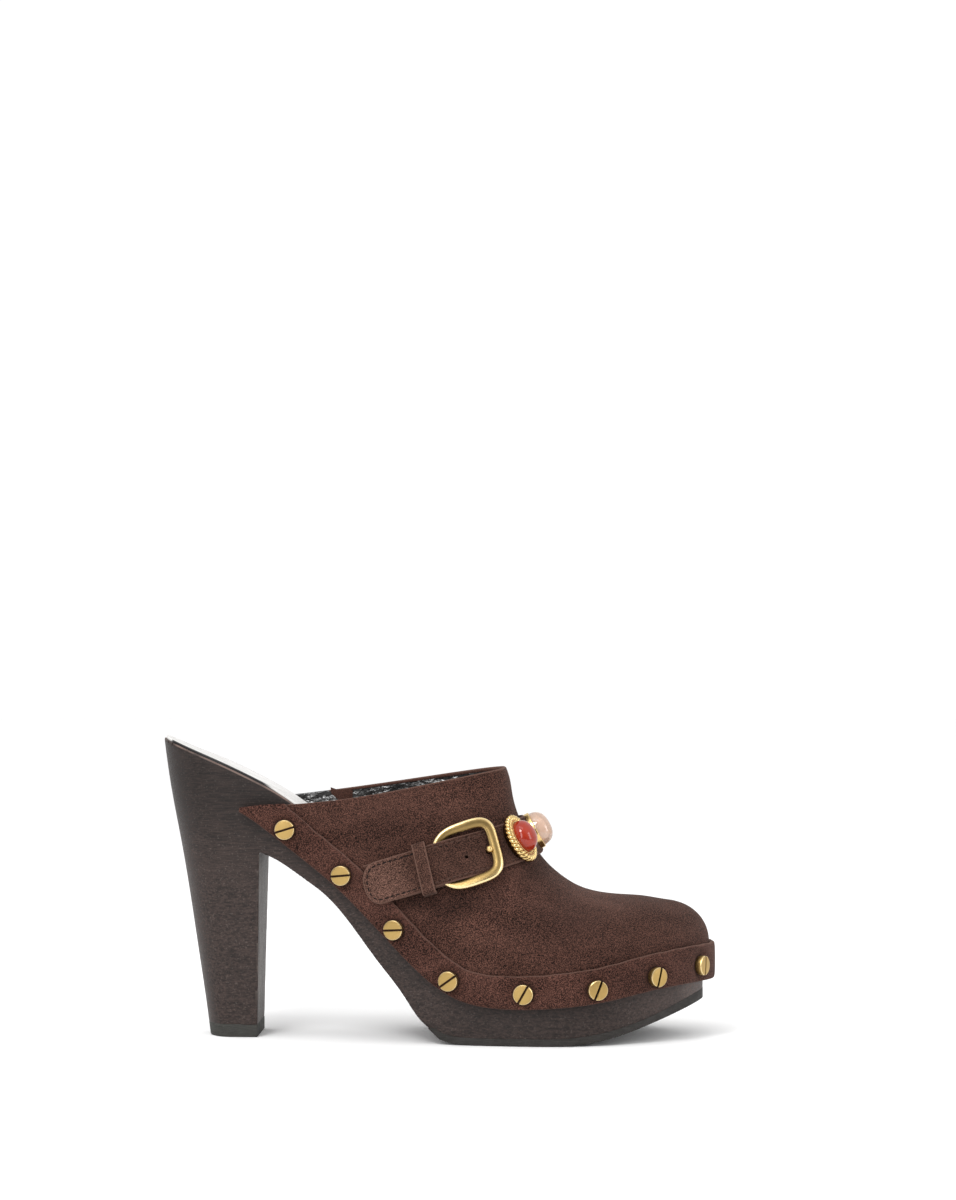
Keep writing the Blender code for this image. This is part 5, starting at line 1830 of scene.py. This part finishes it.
# %% Groups: streaks and specks
def streak_group():
    """Long fine lines along a direction: a mask from 0 to 1 and a coarser one for bands."""
    tree, take, give = new_group(
        "streaks",
        [("Turn", "NodeSocketVector", (0.0, 0.0, 0.0)), ("Stretch", "NodeSocketVector", (1.0, 20.0, 20.0)),
         ("Scale", "NodeSocketFloat", 60.0)],
        [("Lines", "NodeSocketFloat"), ("Bands", "NodeSocketFloat")],
    )
    where = stretched(tree, place_in(tree), take.outputs["Turn"], take.outputs["Stretch"])
    lines = noise(tree, where, take.outputs["Scale"], 5.0, 0.72, 0.25)
    bands = noise(tree, where, times(tree, take.outputs["Scale"], 0.22), 2.0, 0.5, 0.5)
    feed(give, "Lines", spread(tree, lines, 0.35, 0.67, 0.0, 1.0))
    feed(give, "Bands", spread(tree, bands, 0.3, 0.7, 0.0, 1.0))
    return tree


def speck_group():
    """Small specks, as a mask, and a soft cloud between them."""
    tree, take, give = new_group(
        "specks",
        [("Scale", "NodeSocketFloat", 1500.0), ("Share", "NodeSocketFloat", 0.62)],
        [("Specks", "NodeSocketFloat"), ("Cloud", "NodeSocketFloat"), ("Height", "NodeSocketFloat")],
    )
    where = place_in(tree)
    dots = noise(tree, where, take.outputs["Scale"], 2.0, 0.6)
    cloud = noise(tree, where, times(tree, take.outputs["Scale"], 0.05), 4.0, 0.6)
    top = plus(tree, take.outputs["Share"], 0.08)
    inputs = {"Value": dots, "From Min": take.outputs["Share"], "From Max": top}
    mask = add(tree, "ShaderNodeMapRange", inputs)
    feed(give, "Specks", mask.outputs["Result"])
    feed(give, "Cloud", spread(tree, cloud, 0.3, 0.7, 0.0, 1.0))
    feed(give, "Height", dots)
    return tree


STREAKS, SPECKS = streak_group(), speck_group()
print("groups:", STREAKS.name, SPECKS.name)

# %% [markdown]
# ## Suede finishes
# Upper, rand and straps are cut from brown suede of slightly different shades. The rand is a touch redder,
# and every cut edge shows a paler line where the dye has not taken. The strap is painted lighter towards
# its free end as a painted highlight, and darker next to the keeper as a painted shadow. The rand is
# painted darker in a ring round each screw head, also a painted shadow. The edge lines come from numbers
# kept on the points: the height on the rand, and the distance from the strap's outline. The faces inside
# the upper wear a second material, a black lining whose small puckers break up the light.

# %% Start a material
def new_material(name, **values):
    """A material with a Principled shader whose constant values are set on its sockets."""
    material = bpy.data.materials.new(name)
    material.use_nodes = True
    tree = material.node_tree
    shader = tree.nodes["Principled BSDF"]
    for label, value in values.items():
        shader.inputs[label.replace("_", " ")].default_value = value
    print("finish:", name)
    return material, tree, shader


def put_group(tree, group, **values):
    """Place a node group in a material with its own values."""
    return add(tree, "ShaderNodeGroup", values, node_tree=group)


def bump(tree, shader, height, strength, distance):
    """Let a height roughen the surface."""
    made = add(tree, "ShaderNodeBump", {"Height": height, "Strength": strength, "Distance": distance})
    feed(shader, "Normal", made.outputs["Normal"])


def mark(tree, name):
    """A number kept on the points of the mesh."""
    return add(tree, "ShaderNodeAttribute", attribute_name=name).outputs["Fac"]


def wear(piece, material):
    """Give a piece its material."""
    piece.data.materials.clear()
    piece.data.materials.append(material)


def wear_where(piece, material, name):
    """Give a second material to the faces whose points all carry a mark."""
    mesh = piece.data
    marked = np.empty(len(mesh.vertices))
    mesh.attributes[name].data.foreach_get("value", marked)
    mesh.materials.append(material)
    for face in mesh.polygons:
        if marked[list(face.vertices)].min() > 0.5:
            face.material_index = len(mesh.materials) - 1


# %% Suede
SUEDE = (0.0468, 0.0208, 0.0151, 1.0)
RAND_SUEDE = (0.0505, 0.0218, 0.0162, 1.0)
STRAP_SUEDE = (0.0445, 0.0208, 0.0150, 1.0)
LIT_END_SUEDE = (0.082, 0.0415, 0.0310, 1.0)
RAW_EDGE = (0.120, 0.0650, 0.0490, 1.0)
KEEPER_SUEDE = (0.0545, 0.0265, 0.0195, 1.0)
SCREW_RING_SHADE = (0.018, 0.0090, 0.0070, 1.0)
SHEEN_TINT = (0.62, 0.46, 0.40, 1.0)
LINING = (0.010, 0.0095, 0.0095, 1.0)
LINING_WORN = (0.022, 0.0205, 0.0200, 1.0)


def suede(name, colour, speckle, patches):
    """A suede material, its shader and its nap group."""
    material, tree, shader = new_material(
        name, Specular_IOR_Level=0.12, Sheen_Weight=0.10, Sheen_Roughness=0.45, Sheen_Tint=SHEEN_TINT,
    )
    nap = put_group(tree, NAP, Colour=colour, Speckle=speckle, Patches=patches)
    feed(nap, "Shade", mark(tree, "shade"))
    feed(shader, "Base Color", nap.outputs["Colour"])
    feed(shader, "Roughness", nap.outputs["Roughness"])
    bump(tree, shader, nap.outputs["Height"], 0.6, 0.0005)
    return material, tree, shader, nap


def edged(tree, shader, nap, share, screw_gap=None):
    """Show the raw edge where the share is 1, and a painted shadow ring close to a screw."""
    colour = blend_colour(tree, share, nap.outputs["Colour"], RAW_EDGE)
    if screw_gap is not None:
        colour = blend_colour(tree, spread(tree, screw_gap, 5.2, 4.1, 0.0, 0.6), colour, SCREW_RING_SHADE)
    feed(shader, "Base Color", colour)


upper_suede, tree, shader, nap = suede("brown_suede", SUEDE, 1.0, 0.2)
edged(tree, shader, nap, times(tree, mark(tree, "lip"), 0.6))
wear(upper, upper_suede)

black_lining, tree, shader = new_material("black_lining", Specular_IOR_Level=0.85)
where = stretched(tree, place_in(tree), (0.0, 0.0, 0.0), (0.6, 1.0, 1.5))
puckers = noise(tree, where, 260.0, 2.0, 0.5)
feed(shader, "Base Color", blend_colour(tree, puckers, LINING, LINING_WORN))
feed(shader, "Roughness", spread(tree, puckers, 0.3, 0.7, 0.16, 0.30))
bump(tree, shader, puckers, 1.0, 0.0022)
wear_where(upper, black_lining, "lining")

wear(facing, suede("facing_suede", SUEDE, 0.4, 0.1)[0])

rand_suede, tree, shader, nap = suede("rand_suede", RAND_SUEDE, 0.95, 0.2)
band = mark(tree, "band")
top_edge = spread(tree, band, 0.955, 0.99, 0.0, 0.55)
low_edge = spread(tree, band, 0.03, 0.0, 0.0, 0.3)
# The rand darkens in a ring round each screw: a painted shadow.
edged(tree, shader, nap, reckon(tree, "MAXIMUM", top_edge, low_edge), mark(tree, "screw_gap"))
wear(rand, rand_suede)

strap_suede, tree, shader, nap = suede("strap_suede", STRAP_SUEDE, 0.85, 0.18)
# The free end is painted lighter where the light falls on it, and darker next to the keeper, which shades
# it.
feed(nap, "Colour", blend_colour(tree, mark(tree, "free_end"), STRAP_SUEDE, LIT_END_SUEDE))
edged(tree, shader, nap, spread(tree, mark(tree, "inset"), 0.8, 0.1, 0.0, 0.85))
for piece in (strap, short_strap):
    wear(piece, strap_suede)
keeper_suede, tree, shader, nap = suede("keeper_suede", KEEPER_SUEDE, 0.85, 0.1)
edged(tree, shader, nap, spread(tree, mark(tree, "inset"), 0.75, 0.1, 0.0, 0.9))
wear(keeper, keeper_suede)

# %% Black thread
THREAD_DARK = (0.005, 0.004, 0.004, 1.0)
THREAD_LIGHT = (0.016, 0.012, 0.011, 1.0)

thread_black, tree, shader = new_material("waxed_thread", Roughness=0.7, Specular_IOR_Level=0.08)
twist = put_group(tree, STREAKS, Turn=(0.3, 0.5, 0.2), Stretch=(1.0, 4.0, 4.0), Scale=1800.0)
colour = blend_colour(tree, twist.outputs["Lines"], THREAD_DARK, THREAD_LIGHT)
fuzz = times(tree, mark(tree, "fuzz"), 0.5)
feed(shader, "Base Color", blend_colour(tree, fuzz, colour, RAW_EDGE))
wear(thread, thread_black)

# %% [markdown]
# ## Stained wood
# The sole is a close-grained wood under a dark, satin stain. Its fine, short grain carries the colour and a
# little of the bump. At the seat of the heel it is combed into long streaks that droop a little towards the
# back. The sawn breast of the heel, made of the faces turned to the toe, is painted paler and shows upright
# tool marks. The rim of the footbed carries a pale line, which is rubbed wear plus a painted highlight
# where the edge catches the light. The stain is painted darker in a band of shadow under the rand and
# lighter in a highlight on the front of the toe.

# %% Wood
STAIN_DARK = (0.0105, 0.0068, 0.0060, 1.0)
STAIN_LIGHT = (0.0565, 0.0380, 0.0328, 1.0)
BREAST_PALE = (0.150, 0.1250, 0.1100, 1.0)
RUBBED_AND_LIT = (0.240, 0.1650, 0.1380, 1.0)
DUST = (0.150, 0.1220, 0.1100, 1.0)

stained_wood, tree, shader = new_material("stained_wood", Specular_IOR_Level=0.24)
grain = put_group(tree, STREAKS, Turn=(0.0, 0.12, 0.0), Stretch=(1.0, 2.0, 2.4), Scale=540.0)
combed = put_group(tree, STREAKS, Turn=(0.0, 0.12, 0.0), Stretch=(1.0, 4.0, 12.0), Scale=170.0)
saw = put_group(tree, STREAKS, Turn=(0.0, 0.0, 0.0), Stretch=(20.0, 26.0, 1.0), Scale=40.0)
dust = put_group(tree, SPECKS, Scale=1300.0, Share=0.60)
seat = mark(tree, "seat")
lines = times(tree, grain.outputs["Lines"], reckon(tree, "SUBTRACT", 1.0, seat))
lines = plus(tree, lines, times(tree, combed.outputs["Lines"], seat))
tone = times(tree, lines, 0.75)
tone = plus(tree, tone, times(tree, combed.outputs["Bands"], 0.14))
brushed = put_group(tree, STREAKS, Turn=(0.0, 0.65, 0.0), Stretch=(1.0, 6.0, 12.0), Scale=150.0)
toe = times(tree, mark(tree, "toe"), 0.4)
tone = plus(tree, tone, times(tree, brushed.outputs["Lines"], toe))
colour = blend_colour(tree, tone, STAIN_DARK, STAIN_LIGHT)
colour = blend_colour(tree, times(tree, dust.outputs["Specks"], 0.25), colour, DUST)
colour = toned(tree, colour, mark(tree, "stain_and_painted_light"))
sawn = spread(tree, saw.outputs["Lines"], 0.15, 0.85, 0.1, 1.0)
sawn = times(tree, mark(tree, "breast"), sawn)
colour = blend_colour(tree, sawn, colour, BREAST_PALE)
# A pale line along the rim of the footbed: rubbed wear, and a painted highlight where the edge catches the
# light.
rim = spread(tree, mark(tree, "below_rim"), 0.4, 0.05, 0.0, 0.6)
rim = times(tree, rim, spread(tree, dust.outputs["Cloud"], 0.1, 0.8, 0.25, 1.0))
colour = blend_colour(tree, rim, colour, RUBBED_AND_LIT)
feed(shader, "Base Color", colour)
feed(shader, "Roughness", spread(tree, lines, 0.0, 1.0, 0.42, 0.62))
bump(tree, shader, lines, 0.16, 0.0003)
wear(sole, stained_wood)

# %% [markdown]
# ## Rubber and pale leather
# The outsole and the heel lift are black and green-grey rubber with buffing marks and a little
# dust. The insole is a smooth off-white leather with fine pores and a soft grey bloom.

# %% Rubber
OUTSOLE_BLACK = (0.017, 0.015, 0.0135, 1.0)
OUTSOLE_DUST = (0.040, 0.036, 0.033, 1.0)
LIFT_GREEN = (0.026, 0.0255, 0.0225, 1.0)
LIFT_DUST = (0.056, 0.055, 0.049, 1.0)


def rubber(name, dark, pale):
    """A buffed rubber with dust."""
    material, tree, shader = new_material(name, Specular_IOR_Level=0.3)
    dust = put_group(tree, SPECKS, Scale=1900.0, Share=0.58)
    buff = put_group(tree, STREAKS, Turn=(0.0, 0.0, 0.0), Stretch=(1.0, 1.0, 9.0), Scale=220.0)
    tone = times(tree, buff.outputs["Lines"], 0.6)
    tone = plus(tree, tone, times(tree, dust.outputs["Specks"], 0.4))
    feed(shader, "Base Color", blend_colour(tree, tone, dark, pale))
    feed(shader, "Roughness", spread(tree, dust.outputs["Cloud"], 0.0, 1.0, 0.62, 0.82))
    bump(tree, shader, dust.outputs["Height"], 0.25, 0.0003)
    return material


wear(outsole, rubber("outsole_rubber", OUTSOLE_BLACK, OUTSOLE_DUST))
wear(lift, rubber("lift_rubber", LIFT_GREEN, LIFT_DUST))

# %% Pale leather
OFF_WHITE = (0.69, 0.68, 0.665, 1.0)
PORE_GREY = (0.44, 0.43, 0.415, 1.0)
EDGE_BLACK = (0.012, 0.011, 0.011, 1.0)

pale_leather, tree, shader = new_material("pale_leather", Specular_IOR_Level=0.35)
pores = put_group(tree, SPECKS, Scale=1300.0, Share=0.56)
shade = times(tree, pores.outputs["Cloud"], 0.4)
shade = plus(tree, shade, times(tree, pores.outputs["Specks"], 0.5))
colour = blend_colour(tree, shade, OFF_WHITE, PORE_GREY)
black_edge = spread(tree, mark(tree, "wall"), 0.25, 0.75, 0.0, 1.0)
feed(shader, "Base Color", blend_colour(tree, black_edge, colour, EDGE_BLACK))
feed(shader, "Roughness", spread(tree, pores.outputs["Cloud"], 0.0, 1.0, 0.42, 0.58))
bump(tree, shader, pores.outputs["Height"], 0.2, 0.0003)
wear(sock, pale_leather)

# %% [markdown]
# ## Brass
# Screws, buckle and settings are plated in antique gold. Polished metal shows mostly what is
# around it, so the colour is strong and the roughness low, with fine polishing lines and a
# browner tone where the plating is thin. The screw heads are duller than the cast buckle.

# %% Three brasses
GOLD = (0.70, 0.50, 0.215, 1.0)
DULL_GOLD = (0.45, 0.305, 0.110, 1.0)
GOLD_BROWN = (0.30, 0.185, 0.065, 1.0)
OLIVE_GOLD = (0.26, 0.176, 0.066, 1.0)
BRIGHT_GOLD = (0.86, 0.68, 0.37, 1.0)
GRIME_AND_SHADE = (0.035, 0.020, 0.012, 1.0)


def brass(name, gold, shine, tarnish, stretch):
    """A plated brass; shine is its roughness, tarnish how much brown shows."""
    material, tree, shader = new_material(name, Metallic=1.0)
    polish = put_group(tree, STREAKS, Turn=(0.0, 0.3, 0.2), Stretch=stretch, Scale=420.0)
    age = put_group(tree, SPECKS, Scale=2600.0, Share=0.66)
    tone = times(tree, age.outputs["Cloud"], tarnish)
    tone = plus(tree, tone, times(tree, age.outputs["Specks"], 0.3 * tarnish))
    colour = blend_colour(tree, tone, gold, GOLD_BROWN)
    patina, rim = mark(tree, "patina"), mark(tree, "rim")
    # Inner slope of the buckle: patina and a painted reflection of the dark suede.
    colour = blend_colour(tree, times(tree, patina, 0.95), colour, OLIVE_GOLD)
    # Outer crest of the buckle and rims of the screws: wear and a painted highlight.
    colour = blend_colour(tree, rim, colour, BRIGHT_GOLD)
    # Dark slots, rope gaps and setting base: painted shade with some grime.
    feed(shader, "Base Color", blend_colour(tree, mark(tree, "grime"), colour, GRIME_AND_SHADE))
    rough = spread(tree, polish.outputs["Lines"], 0.0, 1.0, shine, shine + 0.1)
    rough = plus(tree, rough, times(tree, patina, 0.1))
    rough = reckon(tree, "SUBTRACT", rough, times(tree, rim, 0.12))
    feed(shader, "Roughness", rough)
    bump(tree, shader, polish.outputs["Lines"], 0.04, 0.0001)
    return material


BRASSES = (
    (screws, brass("screw_brass", DULL_GOLD, 0.36, 0.25, (1.0, 6.0, 6.0))),
    ((buckle, prong), brass("buckle_brass", GOLD, 0.27, 0.15, (3.0, 3.0, 3.0))),
    (settings, brass("setting_brass", GOLD, 0.15, 0.2, (4.0, 4.0, 4.0))),
)
for pieces, plated in BRASSES:
    for piece in pieces:
        wear(piece, plated)

# %% [markdown]
# ## Cabochons
# The red stone is opaque, with faint darker veins; all of its shine is in a clear coat, so that
# the red stays deep under one small white spark. The rose one lets light in: part of its light
# passes through, a milky cloud scatters the rest.

# %% Coral and rose
CORAL_DARK = (0.235, 0.014, 0.0045, 1.0)
CORAL_LIGHT = (0.315, 0.028, 0.009, 1.0)
ROSE_DARK = (0.65, 0.425, 0.31, 1.0)
ROSE_LIGHT = (0.74, 0.535, 0.415, 1.0)

coral, tree, shader = new_material(
    "coral_stone", Roughness=0.5, Specular_IOR_Level=0.0, Coat_Weight=1.0, Coat_Roughness=0.03,
)
veins = put_group(tree, STREAKS, Turn=(0.4, 0.2, 0.9), Stretch=(1.0, 1.0, 4.0), Scale=120.0)
colour = blend_colour(tree, veins.outputs["Bands"], CORAL_DARK, CORAL_LIGHT)
feed(shader, "Base Color", colour)
rose, tree, shader = new_material(
    "rose_stone", Roughness=0.08, Transmission_Weight=0.45, IOR=1.54, Coat_Weight=0.4, Coat_Roughness=0.03,
)
milk = put_group(tree, STREAKS, Turn=(0.7, 0.1, 0.4), Stretch=(1.0, 1.0, 2.0), Scale=90.0)
colour = blend_colour(tree, milk.outputs["Bands"], ROSE_DARK, ROSE_LIGHT)
feed(shader, "Base Color", colour)
wear(gems[0], coral)
wear(gems[1], rose)

# %% [markdown]
# ## Studio
# The shoe stands on a pale floor in a bright, even room, as for a shop picture. A white sky gives
# the soft light. A tall, narrow softbox at the front left, one beside the toe and one above give
# the metal its bright edges, and a small strong one puts the white spark on the stones. In
# reflections the side of the camera is dimmer, as if a dark card stood behind it, so that the
# faces of the brass keep their depth and its edges shine. The camera stands level, 1.5 m away, a
# little towards the toe, with a long lens.

# %% Floor
FLOOR_HALF = 4.0
FLOOR_WHITE = (0.96, 0.96, 0.96, 1.0)
FLOOR_GREY = (0.94, 0.94, 0.94, 1.0)

mesh = bpy.data.meshes.new("studio_floor")
corners = [(x * FLOOR_HALF, y * FLOOR_HALF, 0.0) for x, y in ((-1, -1), (1, -1), (1, 1), (-1, 1))]
mesh.from_pydata(corners, [], [(0, 1, 2, 3)])
floor = put("studio_floor", mesh)
floor_paint, tree, shader = new_material("floor_paint", Roughness=0.9, Specular_IOR_Level=0.1)
paper = put_group(tree, SPECKS, Scale=300.0, Share=0.6)
colour = blend_colour(tree, paper.outputs["Cloud"], FLOOR_WHITE, FLOOR_GREY)
feed(shader, "Base Color", colour)
wear(floor, floor_paint)

# %% Sky and lamps
SKY_STRENGTH = 1.06
DARK_CARD = 0.25

world = bpy.data.worlds.new("white_room")
bpy.context.scene.world = world
world.use_nodes = True
sky = world.node_tree.nodes["Background"]
sky.inputs["Color"].default_value = (1.0, 1.0, 1.0, 1.0)
tree = world.node_tree
ray = add(tree, "ShaderNodeLightPath")
direction = add(tree, "ShaderNodeTexCoord").outputs["Generated"]
towards = add(tree, "ShaderNodeSeparateXYZ", {"Vector": direction})
card = spread(tree, towards.outputs["Y"], -0.35, -0.9, 0.0, SKY_STRENGTH - DARK_CARD)
card = times(tree, card, ray.outputs["Is Glossy Ray"])
feed(sky, "Strength", reckon(tree, "SUBTRACT", SKY_STRENGTH, card))

SOFTBOX_COLUMNS = ("name", "where", "width", "height", "watts")
SOFTBOXES = (
    ("key", (-0.4, -1.45, 0.6), 0.35, 0.9, 5.0),
    ("toe_side", (1.2, -0.5, 0.6), 0.4, 0.8, 3.5),
    ("top", (-0.2, -0.5, 1.5), 0.9, 0.4, 2.0),
    ("spark", (-0.35, -0.80, 1.0), 0.32, 0.32, 5.4),
)
AIM = Vector((0.0, 0.0, 0.06))
for box in named(SOFTBOX_COLUMNS, SOFTBOXES):
    lamp = bpy.data.lights.new(box["name"], "AREA")
    lamp.shape, lamp.energy = "RECTANGLE", box["watts"]
    lamp.size, lamp.size_y = box["width"], box["height"]
    stand = put(box["name"], lamp)
    stand.location = box["where"]
    stand.rotation_euler = (AIM - Vector(box["where"])).to_track_quat("-Z", "Y").to_euler()
print("lamps:", len(SOFTBOXES))

# %% Camera
CAMERA_AZIMUTH = math.radians(2.0)
CAMERA_AWAY = 1500.0
CAMERA_AIM_X = 15.75
CAMERA_HEIGHT = 178.0
SENSOR = 36.0
FOCAL_LENGTH = 109.7

lens = bpy.data.cameras.new("photo_view")
lens.sensor_width, lens.lens, lens.clip_start = SENSOR, FOCAL_LENGTH, 0.05
camera = put("photo_view", lens)
camera_x = CAMERA_AIM_X + CAMERA_AWAY * math.tan(CAMERA_AZIMUTH)
camera.location = to_metres([camera_x, -CAMERA_AWAY, CAMERA_HEIGHT])[0]
camera.rotation_euler = (0.5 * math.pi, 0.0, CAMERA_AZIMUTH)
bpy.context.scene.camera = camera
bpy.context.scene.view_settings.view_transform = "Standard"
print("camera at", [round(value, 3) for value in camera.location])

# %% Sizes and the end
bpy.context.view_layer.update()
